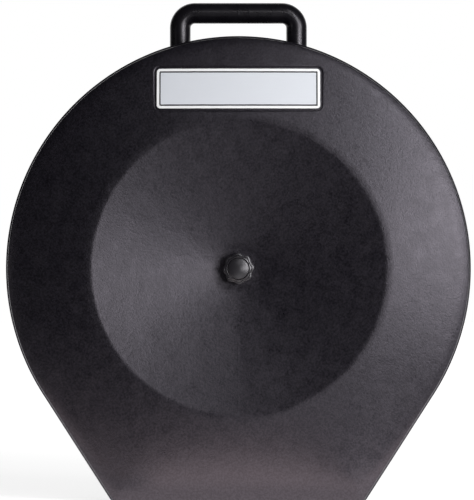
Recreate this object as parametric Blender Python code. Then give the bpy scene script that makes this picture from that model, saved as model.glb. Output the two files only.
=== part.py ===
"""Hard cymbal case: two moulded shells clamped by a lobed knob on a centre rod.

Metres, +Z up, front towards -Y. The origin is the middle of the foot, on the floor.
Every mesh is drawn about the case axis, which runs along Y at the height of the round's centre.
"""

import math
from dataclasses import dataclass

import bmesh
import bpy
from mathutils import Matrix, Vector

# Case envelope
CASE_RADIUS = 0.300
FLANK_LEAN = math.radians(32.7)
FOOT_CORNER_RADIUS = 0.006
CASE_DEPTH = 0.140
WALL = 0.004
ASSEMBLY_GAP = 0.0003
CUT_OVERRUN = 0.003

# Rim where the two shells meet
SKIRT_LAND = 0.0134
BEAD_HEIGHT = 0.002
BEAD_WIDTH = 0.006
BEAD_BEVEL = 0.0015
LIP_THICKNESS = 0.0023
TONGUE_LENGTH = 0.012
RIM_RUNOUT = 0.004

# Front shell face
LID_DRAFT = 0.0015
LID_EDGE_FILLET = 0.006
RING_WIDTH = 0.109
RIDGE_FILLET = 0.020
FACE_FALL = 0.019
FACE_CROWN = 0.001
DISH_DEPTH = 0.0355
BOSS_RADIUS = 0.024

# Rear shell back
REAR_DRAFT = 0.0025
REAR_EDGE_FILLET = 0.014
PANEL_RADIUS = 0.193
PANEL_RECESS = 0.004
PANEL_STEP_RUN = 0.008
POCKET_RADIUS = 0.052
POCKET_FLOOR_RADIUS = 0.036
POCKET_DEPTH = 0.012

# Centre rod and its fixings
ROD_RADIUS = 0.004
ROD_TIP_CHAMFER = 0.001
ROD_HEAD_RADIUS = 0.010
ROD_HEAD_HEIGHT = 0.0045
OUTER_WASHER_RADIUS = 0.020
OUTER_WASHER_THICKNESS = 0.002
INNER_WASHER_RADIUS = 0.015
INNER_WASHER_THICKNESS = 0.0016
NUT_HALF_ACROSS_FLATS = 0.0065
NUT_THICKNESS = 0.0065
SLEEVE_WALL = 0.0018
SLEEVE_END_CLEARANCE = 0.0008

# Foam pads
REAR_PAD_RADIUS = 0.035
REAR_PAD_THICKNESS = 0.016
FRONT_PAD_RADIUS = 0.028
FRONT_PAD_THICKNESS = 0.012
PAD_BORE_CLEARANCE = 0.0012
PAD_EDGE = 0.0015

# Bush in the front shell
BUSH_BORE_CLEARANCE = 0.0005
BUSH_WALL = 0.0025
BUSH_FLANGE_RADIUS = 0.015
BUSH_FLANGE_THICKNESS = 0.002
BUSH_TAIL = 0.003
RETAINER_WIDTH = 0.005
RETAINER_THICKNESS = 0.002

# Knob
KNOB_TIP_RADIUS = 0.020
KNOB_LOBES = 8
KNOB_LOBE_DEPTH = 0.0021
KNOB_HUB_RADIUS = 0.0115
KNOB_HUB_LENGTH = 0.004
KNOB_HEAD_HEIGHT = 0.015
KNOB_LOWER_BEVEL = 0.0015
KNOB_SHOULDER = 0.005
KNOB_TOP_LAND = 0.0016
KNOB_WASHER_RADIUS = 0.012
KNOB_WASHER_THICKNESS = 0.0015
INSERT_WALL = 0.0017
INSERT_FLANGE_WIDTH = 0.0015
INSERT_FLANGE_THICKNESS = 0.0012
CAP_RADIUS = 0.0138
CAP_RIM_THICKNESS = 0.003
CAP_DOME_HEIGHT = 0.0025

# Name plate and its seat
PLATE_WIDTH = 0.2095
PLATE_RIDGE_GAP = 0.0142
PLATE_RIM_GAP = 0.0436
PLATE_THICKNESS = 0.0014
PLATE_PROUD = 0.0003
PLATE_CORNER_RADIUS = 0.0045
PLATE_MARGIN = 0.003
TAPE_THICKNESS = 0.0005
TAPE_MARGIN = 0.004

# Handle and its fixings
HANDLE_SPAN = 0.1773
HANDLE_RISE = 0.0449
HANDLE_HALF_THICKNESS = 0.013
HANDLE_HALF_DEPTH = 0.015
HANDLE_BEND = 0.019
STRIP_THICKNESS = 0.0025
STRIP_WIDTH = 0.032
STRIP_OVERHANG = 0.012
SCREW_RADIUS = 0.0025
SCREW_PITCH = 0.014
SCREW_GRIP = 0.018
SCREW_HEAD_RADIUS = 0.0048
SCREW_HEAD_HEIGHT = 0.0032

# Facets
ARC_SEGMENTS = 40
FLANK_SEGMENTS = 4
CORNER_SEGMENTS = 2
FOOT_SEGMENTS = 8
FILLET_SEGMENTS = 4
CREST_SEGMENTS = 4
FACE_SEGMENTS = 3
ROUND_SEGMENTS = 24
SCREW_SEGMENTS = 12
LOBE_SEGMENTS = 6
SECTION_SEGMENTS = 16
BEND_SEGMENTS = 6
PLATE_CELLS_ACROSS = 12
PLATE_CELLS_UP = 4
SHARP_ANGLE = math.radians(35)
MERGE_DISTANCE = 1e-6

# The foot is level with the lowest point of the round, and the flanks are tangent to the round
CENTRE_HEIGHT = CASE_RADIUS
RABBET_INSET = BEAD_HEIGHT + LIP_THICKNESS
TONGUE_INSET = RABBET_INSET + ASSEMBLY_GAP
LID_WALL_INSET = BEAD_HEIGHT + LID_DRAFT
REAR_WALL_INSET = BEAD_HEIGHT + REAR_DRAFT
INNER_WALL_RADIUS = CASE_RADIUS - TONGUE_INSET - WALL
RIDGE_RADIUS = CASE_RADIUS - RING_WIDTH

# Places along the depth
FRONT_Y = -CASE_DEPTH / 2
BACK_Y = CASE_DEPTH / 2
FACE_RUN = CASE_RADIUS - LID_WALL_INSET - LID_EDGE_FILLET - RIDGE_RADIUS
FACE_SLOPE = math.atan2(FACE_FALL, FACE_RUN)
DISH_SLOPE = math.atan2(DISH_DEPTH, RIDGE_RADIUS - BOSS_RADIUS)
FACE_EDGE_Y = FRONT_Y + FACE_FALL
LID_FILLET_Y = FACE_EDGE_Y + LID_EDGE_FILLET * math.cos(FACE_SLOPE)
PARTING_Y = LID_FILLET_Y + SKIRT_LAND + TONGUE_LENGTH
REAR_FILLET_Y = BACK_Y - REAR_EDGE_FILLET
BOSS_Y = FRONT_Y + DISH_DEPTH
BUSH_FACE_Y = BOSS_Y - ASSEMBLY_GAP - BUSH_FLANGE_THICKNESS
BUSH_TAIL_Y = BOSS_Y + WALL + BUSH_TAIL
KNOB_WASHER_Y = BUSH_FACE_Y - ASSEMBLY_GAP - KNOB_WASHER_THICKNESS
KNOB_BASE_Y = KNOB_WASHER_Y - ASSEMBLY_GAP
KNOB_TOP_Y = KNOB_BASE_Y - KNOB_HUB_LENGTH - KNOB_HEAD_HEIGHT
CAP_SEAT_Y = KNOB_TOP_Y + CAP_RIM_THICKNESS
ROD_TIP_Y = CAP_SEAT_Y + INSERT_FLANGE_THICKNESS + ASSEMBLY_GAP
POCKET_Y = BACK_Y - POCKET_DEPTH
OUTER_WASHER_Y = POCKET_Y + ASSEMBLY_GAP
ROD_HEAD_Y = OUTER_WASHER_Y + OUTER_WASHER_THICKNESS + ASSEMBLY_GAP
INNER_WASHER_Y = POCKET_Y - WALL - ASSEMBLY_GAP
NUT_Y = INNER_WASHER_Y - INNER_WASHER_THICKNESS - ASSEMBLY_GAP
SLEEVE_REAR_Y = NUT_Y - NUT_THICKNESS - ASSEMBLY_GAP
SLEEVE_FRONT_Y = BUSH_TAIL_Y + SLEEVE_END_CLEARANCE
HANDLE_Y = (PARTING_Y + REAR_FILLET_Y) / 2

# Places across the case and up it, counted from the case axis
LEG_X = HANDLE_SPAN / 2 - HANDLE_HALF_THICKNESS
BAR_Z = CASE_RADIUS + HANDLE_RISE - HANDLE_HALF_THICKNESS
PLATE_HEIGHT = RING_WIDTH - PLATE_RIDGE_GAP - PLATE_RIM_GAP
PLATE_Z = RIDGE_RADIUS + PLATE_RIDGE_GAP + PLATE_HEIGHT / 2

# Bores and what runs in them
RUNNING_BORE = ROD_RADIUS + ASSEMBLY_GAP
BUSH_BORE = ROD_RADIUS + BUSH_BORE_CLEARANCE
BUSH_BARREL_RADIUS = BUSH_BORE + BUSH_WALL
RETAINER_RADIUS = BUSH_BARREL_RADIUS + RETAINER_WIDTH
INSERT_RADIUS = RUNNING_BORE + INSERT_WALL
INSERT_FLANGE_RADIUS = INSERT_RADIUS + INSERT_FLANGE_WIDTH
KNOB_TOP_RADIUS = CAP_RADIUS + KNOB_TOP_LAND


@dataclass(frozen=True)
class Finish:
    """A material's colour, roughness and metallic value."""

    colour: tuple
    roughness: float
    metallic: float = 0.0


MOULDED = Finish((0.02, 0.02, 0.022), 0.5)
KNOB_PLASTIC = Finish((0.025, 0.025, 0.028), 0.35)
NYLON = Finish((0.05, 0.05, 0.055), 0.45)
FOAM = Finish((0.06, 0.06, 0.065), 0.95)
TAPE = Finish((0.7, 0.7, 0.68), 0.8)
PLATE_SILVER = Finish((0.72, 0.74, 0.8), 0.35)
ZINC_STEEL = Finish((0.62, 0.62, 0.6), 0.35, 1.0)
BRASS = Finish((0.75, 0.56, 0.25), 0.3, 1.0)


def steps(start, end, count):
    """Returns count + 1 even values from start to end."""
    return [start + (end - start) * step / count for step in range(count + 1)]


def arc(centre, radius, angles):
    """Returns the (x, z) points of a round stretch at these angles."""
    return [(centre[0] + radius * math.cos(a), centre[1] + radius * math.sin(a)) for a in angles]


def straight(start, end, count):
    """Returns the (x, z) points after start, up to and with end."""
    shares = steps(0, 1, count)[1:]
    return [(start[0] + (end[0] - start[0]) * s, start[1] + (end[1] - start[1]) * s) for s in shares]


def outline(side_inset, foot_inset):
    """Returns the case outline as (x, z) points, moved in from the round and from the foot."""
    radius = CASE_RADIUS - side_inset
    corner_z = foot_inset - CENTRE_HEIGHT + FOOT_CORNER_RADIUS
    corner_reach = radius - FOOT_CORNER_RADIUS + corner_z * math.sin(FLANK_LEAN)
    corner_x = corner_reach / math.cos(FLANK_LEAN)
    left_turn = steps(math.pi + FLANK_LEAN, 1.5 * math.pi, CORNER_SEGMENTS)
    right_turn = steps(1.5 * math.pi, 2 * math.pi - FLANK_LEAN, CORNER_SEGMENTS)
    left_corner = arc((-corner_x, corner_z), FOOT_CORNER_RADIUS, left_turn)
    right_corner = arc((corner_x, corner_z), FOOT_CORNER_RADIUS, right_turn)
    points = arc((0, 0), radius, steps(-FLANK_LEAN, math.pi + FLANK_LEAN, ARC_SEGMENTS))
    points += straight(points[-1], left_corner[0], FLANK_SEGMENTS)
    points += left_corner[1:]
    points += straight(left_corner[-1], right_corner[0], FOOT_SEGMENTS)
    points += right_corner[1:]
    points += straight(right_corner[-1], points[0], FLANK_SEGMENTS)
    return points[:-1]


def circle(radius):
    """Returns a round with one point on the bearing of each outline point."""
    bearings = [math.atan2(z, x) for x, z in outline(LID_WALL_INSET, 0)]
    return arc((0, 0), radius, bearings)


def station(points, y):
    """Places (x, z) points at one depth."""
    return [Vector((x, y, z)) for x, z in points]


def between(first, second, share):
    """Returns the station this share of the way from first to second."""
    return [a.lerp(b, share) for a, b in zip(first, second)]


def face_edge(wall):
    """Returns the station where the face, this far under the surface, meets its edge fillet."""
    fillet = LID_EDGE_FILLET - wall
    inset = LID_EDGE_FILLET - fillet * math.sin(FACE_SLOPE)
    return station(outline(LID_WALL_INSET + inset, inset), LID_FILLET_Y - fillet * math.cos(FACE_SLOPE))


def crest(wall):
    """Returns the stations over the ridge, from the dish side to the face side."""
    radius = RIDGE_FILLET - wall
    centre_y = FRONT_Y + RIDGE_FILLET
    angles = steps(-DISH_SLOPE, FACE_SLOPE, CREST_SEGMENTS)
    return [
        station(circle(RIDGE_RADIUS + radius * math.sin(a)), centre_y - radius * math.cos(a))
        for a in angles
    ]


def face(wall):
    """Returns the stations between the ridge and the edge fillet, with the face's slight crown."""
    inner = crest(wall)[-1]
    outer = face_edge(wall)
    stations = []
    for share in steps(0, 1, FACE_SEGMENTS)[1:-1]:
        lift = Vector((0, -4 * FACE_CROWN * share * (1 - share), 0))
        stations.append([point + lift for point in between(inner, outer, share)])
    return stations


def fillet_stations(wall_inset, fillet, wall, centre_y, direction, angles):
    """Returns the stations of a shell's edge fillet, with direction -1 at the front and 1 at the back."""
    radius = fillet - wall
    stations = []
    for a in angles:
        inset = fillet - radius * math.sin(a)
        ring = outline(wall_inset + inset, inset)
        stations.append(station(ring, centre_y + direction * radius * math.cos(a)))
    return stations


def make_material(name, finish):
    """Returns a Principled material with this finish."""
    material = bpy.data.materials.new(name)
    material.use_nodes = True
    shader = material.node_tree.nodes["Principled BSDF"]
    shader.inputs["Base Color"].default_value = (*finish.colour, 1.0)
    shader.inputs["Roughness"].default_value = finish.roughness
    shader.inputs["Metallic"].default_value = finish.metallic
    return material


def new_object(name, mesh, finish, parent):
    """Links a node, in a material of its own, under its body's empty."""
    mesh.shade_smooth()
    mesh.set_sharp_from_angle(angle=SHARP_ANGLE)
    mesh.materials.append(make_material(name, finish))
    obj = bpy.data.objects.new(name, mesh)
    bpy.context.scene.collection.objects.link(obj)
    obj.parent = parent
    return obj


def mesh_from(name, bm):
    """Merges doubles, points every face outwards and returns the mesh."""
    bmesh.ops.remove_doubles(bm, verts=bm.verts, dist=MERGE_DISTANCE)
    bmesh.ops.recalc_face_normals(bm, faces=bm.faces)
    mesh = bpy.data.meshes.new(name)
    bm.to_mesh(mesh)
    bm.free()
    return mesh


def loft(name, stations, capped=False):
    """Extrudes a ring of edges through the stations. Without caps it closes on the first station."""
    bm = bmesh.new()
    order = bm.verts.layers.int.new("order")
    ring = [bm.verts.new(point) for point in stations[0]]
    for index, vert in enumerate(ring):
        vert[order] = index
    edges = [bm.edges.new((a, b)) for a, b in zip(ring, ring[1:] + ring[:1])]
    ends = [edges]
    for points in stations[1:] if capped else stations[1:] + stations[:1]:
        made = bmesh.ops.extrude_edge_only(bm, edges=edges)["geom"]
        edges = [item for item in made if isinstance(item, bmesh.types.BMEdge)]
        edges = [edge for edge in edges if len(edge.link_faces) == 1]
        for vert in (item for item in made if isinstance(item, bmesh.types.BMVert)):
            vert.co = points[vert[order]]
    if capped:
        for end in (ends[0], edges):
            bmesh.ops.contextual_create(bm, geom=end)
    return mesh_from(name, bm)


def spun(name, profile, segments=ROUND_SEGMENTS):
    """Spins a profile of (radius, y) points about the case axis. One that starts on the axis stays open."""
    bm = bmesh.new()
    verts = [bm.verts.new((radius, y, 0)) for radius, y in profile]
    edges = [bm.edges.new(pair) for pair in zip(verts, verts[1:])]
    if profile[0][0] > 0:
        edges.append(bm.edges.new((verts[-1], verts[0])))
    bmesh.ops.spin(
        bm, geom=verts + edges, axis=(0, 1, 0), angle=2 * math.pi, steps=segments, use_merge=True
    )
    return mesh_from(name, bm)


def ring_profile(inner, outer, front_y, back_y):
    """Returns the four corners of a washer's section."""
    return [(inner, front_y), (outer, front_y), (outer, back_y), (inner, back_y)]


def soft_ring_profile(inner, outer, front_y, back_y, edge):
    """Returns a washer's section with its two outer edges bevelled."""
    return [
        (inner, front_y),
        (outer - edge, front_y),
        (outer, front_y + edge),
        (outer, back_y - edge),
        (outer - edge, back_y),
        (inner, back_y),
    ]


def make_cutter(name, mesh, parent):
    """Links a helper that only cuts other pieces."""
    cutter = bpy.data.objects.new(name, mesh)
    bpy.context.scene.collection.objects.link(cutter)
    cutter.parent = parent
    cutter.hide_render = True
    cutter.display_type = "WIRE"
    return cutter


def cut(target, cutter):
    """Takes the cutter's shape out of the target."""
    modifier = target.modifiers.new(cutter.name, "BOOLEAN")
    modifier.operation = "DIFFERENCE"
    modifier.solver = "EXACT"
    modifier.object = cutter


def body_empty(name, parent=None):
    """Makes the empty that carries a body, on the case axis, which every joint here shares."""
    empty = bpy.data.objects.new(name, None)
    bpy.context.scene.collection.objects.link(empty)
    empty.parent = parent
    empty.location = (0, 0, 0 if parent else CENTRE_HEIGHT)
    return empty


def front_shell_mesh():
    """Returns the lid: boss, dish, ridge, face, edge fillet, skirt and bead, then the same inside."""
    hole = circle(BUSH_BARREL_RADIUS + ASSEMBLY_GAP)
    outward = steps(FACE_SLOPE, math.pi / 2, FILLET_SEGMENTS)
    inward = outward[::-1]
    bead_y = PARTING_Y - BEAD_WIDTH
    rabbet_y = PARTING_Y - TONGUE_LENGTH - ASSEMBLY_GAP
    outside = [station(hole, BOSS_Y), station(circle(BOSS_RADIUS), BOSS_Y)]
    outside += crest(0) + face(0)
    outside += fillet_stations(LID_WALL_INSET, LID_EDGE_FILLET, 0, LID_FILLET_Y, -1, outward)
    outside += [
        station(outline(BEAD_HEIGHT, 0), bead_y - BEAD_BEVEL),
        station(outline(0, 0), bead_y),
        station(outline(0, 0), PARTING_Y),
    ]
    inside = [
        station(outline(RABBET_INSET, RABBET_INSET), PARTING_Y),
        station(outline(RABBET_INSET, RABBET_INSET), rabbet_y),
        station(outline(LID_WALL_INSET + WALL, RABBET_INSET), rabbet_y - RIM_RUNOUT / 2),
    ]
    inside += fillet_stations(LID_WALL_INSET, LID_EDGE_FILLET, WALL, LID_FILLET_Y, -1, inward)
    inside += face(WALL)[::-1] + crest(WALL)[::-1]
    inside += [station(circle(BOSS_RADIUS), BOSS_Y + WALL), station(hole, BOSS_Y + WALL)]
    return loft("front_shell", outside + inside)


def rear_shell_mesh():
    """Returns the base: tongue, bead, wall, edge fillet, back land, panel and rod pocket, then inside."""
    hole = circle(RUNNING_BORE)
    outward = steps(0, math.pi / 2, FILLET_SEGMENTS)
    inward = outward[::-1]
    seat_y = PARTING_Y + ASSEMBLY_GAP
    bead_y = seat_y + BEAD_WIDTH
    tip_y = PARTING_Y - TONGUE_LENGTH
    panel_y = BACK_Y - PANEL_RECESS
    panel_edge = PANEL_RADIUS - PANEL_STEP_RUN
    panel_slope = math.atan2(PANEL_RECESS, PANEL_STEP_RUN)
    pocket_slope = math.atan2(POCKET_DEPTH - PANEL_RECESS, POCKET_RADIUS - POCKET_FLOOR_RADIUS)
    panel_shift = WALL * math.tan(panel_slope / 2)
    pocket_shift = WALL * math.tan(pocket_slope / 2)
    tongue_inner = TONGUE_INSET + WALL
    outside = [
        station(outline(TONGUE_INSET, TONGUE_INSET), tip_y),
        station(outline(TONGUE_INSET, TONGUE_INSET), seat_y),
        station(outline(0, 0), seat_y),
        station(outline(0, 0), bead_y),
        station(outline(BEAD_HEIGHT, 0), bead_y + BEAD_BEVEL),
    ]
    outside += fillet_stations(REAR_WALL_INSET, REAR_EDGE_FILLET, 0, REAR_FILLET_Y, 1, inward)
    outside += [
        station(circle(PANEL_RADIUS), BACK_Y),
        station(circle(panel_edge), panel_y),
        station(circle(POCKET_RADIUS), panel_y),
        station(circle(POCKET_FLOOR_RADIUS), POCKET_Y),
        station(hole, POCKET_Y),
    ]
    inside = [
        station(hole, POCKET_Y - WALL),
        station(circle(POCKET_FLOOR_RADIUS + pocket_shift), POCKET_Y - WALL),
        station(circle(POCKET_RADIUS + pocket_shift), panel_y - WALL),
        station(circle(panel_edge + panel_shift), panel_y - WALL),
        station(circle(PANEL_RADIUS + panel_shift), BACK_Y - WALL),
    ]
    inside += fillet_stations(REAR_WALL_INSET, REAR_EDGE_FILLET, WALL, REAR_FILLET_Y, 1, outward)
    inside += [
        station(outline(REAR_WALL_INSET + WALL, WALL), bead_y + BEAD_BEVEL + RIM_RUNOUT),
        station(outline(tongue_inner, tongue_inner), bead_y + BEAD_BEVEL),
        station(outline(tongue_inner, tongue_inner), tip_y),
    ]
    return loft("rear_shell", outside + inside)


def lid_face_y(radius):
    """Returns the depth of the front surface at this distance from the case axis, above the flanks."""
    dish_edge = RIDGE_RADIUS - RIDGE_FILLET * math.sin(DISH_SLOPE)
    inner = RIDGE_RADIUS + RIDGE_FILLET * math.sin(FACE_SLOPE)
    outer = CASE_RADIUS - LID_WALL_INSET - LID_EDGE_FILLET * (1 - math.sin(FACE_SLOPE))
    if radius < dish_edge:
        edge_y = FRONT_Y + RIDGE_FILLET * (1 - math.cos(DISH_SLOPE))
        return edge_y + (BOSS_Y - edge_y) * (dish_edge - radius) / (dish_edge - BOSS_RADIUS)
    if radius < inner:
        return FRONT_Y + RIDGE_FILLET - math.sqrt(RIDGE_FILLET**2 - (radius - RIDGE_RADIUS) ** 2)
    inner_y = FRONT_Y + RIDGE_FILLET * (1 - math.cos(FACE_SLOPE))
    outer_y = LID_FILLET_Y - LID_EDGE_FILLET * math.cos(FACE_SLOPE)
    share = (radius - inner) / (outer - inner)
    return inner_y + (outer_y - inner_y) * share - 4 * FACE_CROWN * share * (1 - share)


def plate_mesh(name, width, height, corner, back, thickness):
    """Returns a rounded plate that follows the front face, with its back this far under the face."""
    bm = bmesh.new()
    upright = Matrix.Rotation(math.pi / 2, 4, "X")
    sized = Matrix.Diagonal((width / 2, 1, height / 2, 1))
    bmesh.ops.create_grid(
        bm,
        x_segments=PLATE_CELLS_ACROSS,
        y_segments=PLATE_CELLS_UP,
        size=1,
        matrix=Matrix.Translation((0, 0, PLATE_Z)) @ sized @ upright,
    )
    corners = [vert for vert in bm.verts if len(vert.link_edges) == 2]
    bmesh.ops.bevel(
        bm,
        geom=corners,
        offset=corner,
        offset_type="OFFSET",
        segments=FILLET_SEGMENTS,
        profile=0.5,
        affect="VERTICES",
    )
    made = bmesh.ops.extrude_face_region(bm, geom=bm.faces[:])["geom"]
    for vert in (item for item in made if isinstance(item, bmesh.types.BMVert)):
        vert.co.y -= thickness
    for vert in bm.verts:
        vert.co.y += back + lid_face_y(math.hypot(vert.co.x, vert.co.z))
    return mesh_from(name, bm)


def wall_inset(y):
    """Returns how far the rear shell's wall lies in from the round at this depth."""
    shoulder_y = PARTING_Y + ASSEMBLY_GAP + BEAD_WIDTH + BEAD_BEVEL
    return BEAD_HEIGHT + REAR_DRAFT * (y - shoulder_y) / (REAR_FILLET_Y - shoulder_y)


def handle_mesh():
    """Returns the carrying handle: an oval section taken up one leg, over the bar and down the other."""
    bm = bmesh.new()
    leg_foot = CASE_RADIUS * math.cos(math.asin(HANDLE_SPAN / 2 / CASE_RADIUS)) - 2 * WALL
    bend_z = BAR_Z - HANDLE_BEND
    sized = Matrix.Diagonal((HANDLE_HALF_THICKNESS, HANDLE_HALF_DEPTH, 1, 1))
    place = Matrix.Translation((-LEG_X, HANDLE_Y, leg_foot)) @ sized
    ring = bmesh.ops.create_circle(bm, segments=SECTION_SEGMENTS, radius=1, matrix=place)["verts"]
    first = list({edge for vert in ring for edge in vert.link_edges})

    def run(edges, vector):
        made = bmesh.ops.extrude_edge_only(bm, edges=edges)["geom"]
        verts = [item for item in made if isinstance(item, bmesh.types.BMVert)]
        bmesh.ops.translate(bm, verts=verts, vec=vector)
        return [item for item in made if isinstance(item, bmesh.types.BMEdge) and item.is_boundary]

    def turn(edges, centre_x):
        verts = list({vert for edge in edges for vert in edge.verts})
        made = bmesh.ops.spin(
            bm,
            geom=verts + edges,
            cent=(centre_x, HANDLE_Y, bend_z),
            axis=(0, 1, 0),
            angle=math.pi / 2,
            steps=BEND_SEGMENTS,
        )["geom_last"]
        return [item for item in made if isinstance(item, bmesh.types.BMEdge)]

    rise = Vector((0, 0, bend_z - leg_foot))
    edges = turn(run(first, rise), HANDLE_BEND - LEG_X)
    edges = run(edges, Vector((2 * (LEG_X - HANDLE_BEND), 0, 0)))
    edges = run(turn(edges, LEG_X - HANDLE_BEND), -rise)
    for end in (first, edges):
        bmesh.ops.contextual_create(bm, geom=end)
    return mesh_from("handle", bm)


def strip_mesh():
    """Returns the curved steel strip that backs the handle's screws inside the rear shell."""
    facet = (math.pi + 2 * FLANK_LEAN) / ARC_SEGMENTS
    outer = INNER_WALL_RADIUS * math.cos(facet / 2) - ASSEMBLY_GAP
    half_angle = math.asin((HANDLE_SPAN / 2 + STRIP_OVERHANG) / outer)
    angles = steps(math.pi / 2 - half_angle, math.pi / 2 + half_angle, SCREW_SEGMENTS)
    section = arc((0, 0), outer, angles) + arc((0, 0), outer - STRIP_THICKNESS, angles[::-1])
    ends = [station(section, HANDLE_Y + side * STRIP_WIDTH / 2) for side in (-1, 1)]
    return loft("handle_backing_strip", ends, capped=True), outer - STRIP_THICKNESS


def screw_mesh(length):
    """Returns a pan-head screw that points up +Z from the underside of its head."""
    bm = bmesh.new()
    rim = SCREW_HEAD_HEIGHT / 2
    profile = [
        (0, -SCREW_HEAD_HEIGHT),
        (SCREW_HEAD_RADIUS - rim, -SCREW_HEAD_HEIGHT),
        (SCREW_HEAD_RADIUS, -rim),
        (SCREW_HEAD_RADIUS, 0),
        (SCREW_RADIUS, 0),
        (SCREW_RADIUS, length - SCREW_RADIUS),
        (SCREW_RADIUS / 2, length),
        (0, length),
    ]
    verts = [bm.verts.new((radius, 0, z)) for radius, z in profile]
    edges = [bm.edges.new(pair) for pair in zip(verts, verts[1:])]
    bmesh.ops.spin(
        bm,
        geom=verts + edges,
        axis=(0, 0, 1),
        angle=2 * math.pi,
        steps=SCREW_SEGMENTS,
        use_merge=True,
    )
    return mesh_from("handle_screw", bm)


def screw_cutter_mesh(length):
    """Returns the hole that a handle screw runs in, open below the strip."""
    bm = bmesh.new()
    bmesh.ops.create_cone(
        bm,
        cap_ends=True,
        segments=SCREW_SEGMENTS,
        radius1=SCREW_RADIUS + ASSEMBLY_GAP,
        radius2=SCREW_RADIUS + ASSEMBLY_GAP,
        depth=length + CUT_OVERRUN + ASSEMBLY_GAP,
        matrix=Matrix.Translation((0, 0, (length + ASSEMBLY_GAP - CUT_OVERRUN) / 2)),
    )
    return mesh_from("screw_hole", bm)


def saddle_mesh():
    """Returns the rear shell's outer wall, grown by the assembly gap, to shape the handle's feet."""
    stations = []
    for side in (-1, 1):
        y = HANDLE_Y + side * (HANDLE_HALF_DEPTH + CUT_OVERRUN)
        stations.append(station(outline(wall_inset(y) - ASSEMBLY_GAP, 0), y))
    return loft("handle_saddle", stations, capped=True)


def nut_mesh():
    """Returns the hexagon block of the lock nut, before its bore."""
    bm = bmesh.new()
    corner = NUT_HALF_ACROSS_FLATS / math.cos(math.pi / 6)
    place = Matrix.Translation((0, NUT_Y - NUT_THICKNESS / 2, 0)) @ Matrix.Rotation(math.pi / 2, 4, "X")
    bmesh.ops.create_cone(
        bm,
        cap_ends=True,
        segments=6,
        radius1=corner,
        radius2=corner,
        depth=NUT_THICKNESS,
        matrix=place,
    )
    return mesh_from("rod_lock_nut", bm)


def lobed(tip_radius):
    """Returns the knob's outline as (x, z) points, with a lobe at each tip."""
    points = []
    for angle in steps(0, 2 * math.pi, KNOB_LOBES * LOBE_SEGMENTS)[:-1]:
        radius = tip_radius - KNOB_LOBE_DEPTH * (1 - math.cos(KNOB_LOBES * angle)) / 2
        points.append((radius * math.cos(angle), radius * math.sin(angle)))
    return points


def knob_round(radius):
    """Returns a round with as many points as the knob's outline."""
    return arc((0, 0), radius, steps(0, 2 * math.pi, KNOB_LOBES * LOBE_SEGMENTS)[:-1])


def knob_mesh():
    """Returns the knob's moulded body: hub, lobed head, cap seat and insert bore."""
    head_y = KNOB_BASE_Y - KNOB_HUB_LENGTH
    insert_bore = INSERT_RADIUS + ASSEMBLY_GAP
    flange_bore = INSERT_FLANGE_RADIUS + ASSEMBLY_GAP
    flange_y = CAP_SEAT_Y + INSERT_FLANGE_THICKNESS + ASSEMBLY_GAP
    stations = [
        station(knob_round(insert_bore), KNOB_BASE_Y),
        station(knob_round(KNOB_HUB_RADIUS), KNOB_BASE_Y),
        station(knob_round(KNOB_HUB_RADIUS), head_y),
        station(lobed(KNOB_TIP_RADIUS - KNOB_LOWER_BEVEL), head_y),
        station(lobed(KNOB_TIP_RADIUS), head_y - KNOB_LOWER_BEVEL),
        station(lobed(KNOB_TIP_RADIUS), KNOB_TOP_Y + KNOB_SHOULDER),
        station(lobed((KNOB_TIP_RADIUS + KNOB_TOP_RADIUS) / 2), KNOB_TOP_Y + KNOB_SHOULDER / 4),
        station(knob_round(KNOB_TOP_RADIUS - KNOB_LOBE_DEPTH / 2), KNOB_TOP_Y),
        station(knob_round(CAP_RADIUS), KNOB_TOP_Y),
        station(knob_round(CAP_RADIUS), CAP_SEAT_Y),
        station(knob_round(flange_bore), CAP_SEAT_Y),
        station(knob_round(flange_bore), flange_y),
        station(knob_round(insert_bore), flange_y),
    ]
    return loft("knob_body", stations)


def cap_profile():
    """Returns the section of the knob's domed cap, from its dome to its underside."""
    rim = CAP_RADIUS - ASSEMBLY_GAP
    back_y = CAP_SEAT_Y - ASSEMBLY_GAP
    dome = []
    for share in steps(0, 1, FILLET_SEGMENTS):
        dome.append((rim * share, KNOB_TOP_Y - CAP_DOME_HEIGHT * (1 - share * share)))
    return dome + [(rim, back_y), (0, back_y)]


def rod_profile():
    """Returns the section of the centre rod, from its domed head to its chamfered tip."""
    head_end = ROD_HEAD_Y + ROD_HEAD_HEIGHT
    dome = []
    for share in steps(0, 1, FILLET_SEGMENTS):
        dome.append((ROD_HEAD_RADIUS * share, head_end - ROD_HEAD_HEIGHT * share**3))
    return dome + [
        (ROD_RADIUS, ROD_HEAD_Y),
        (ROD_RADIUS, ROD_TIP_Y + ROD_TIP_CHAMFER),
        (ROD_RADIUS - ROD_TIP_CHAMFER, ROD_TIP_Y),
        (0, ROD_TIP_Y),
    ]


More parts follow.
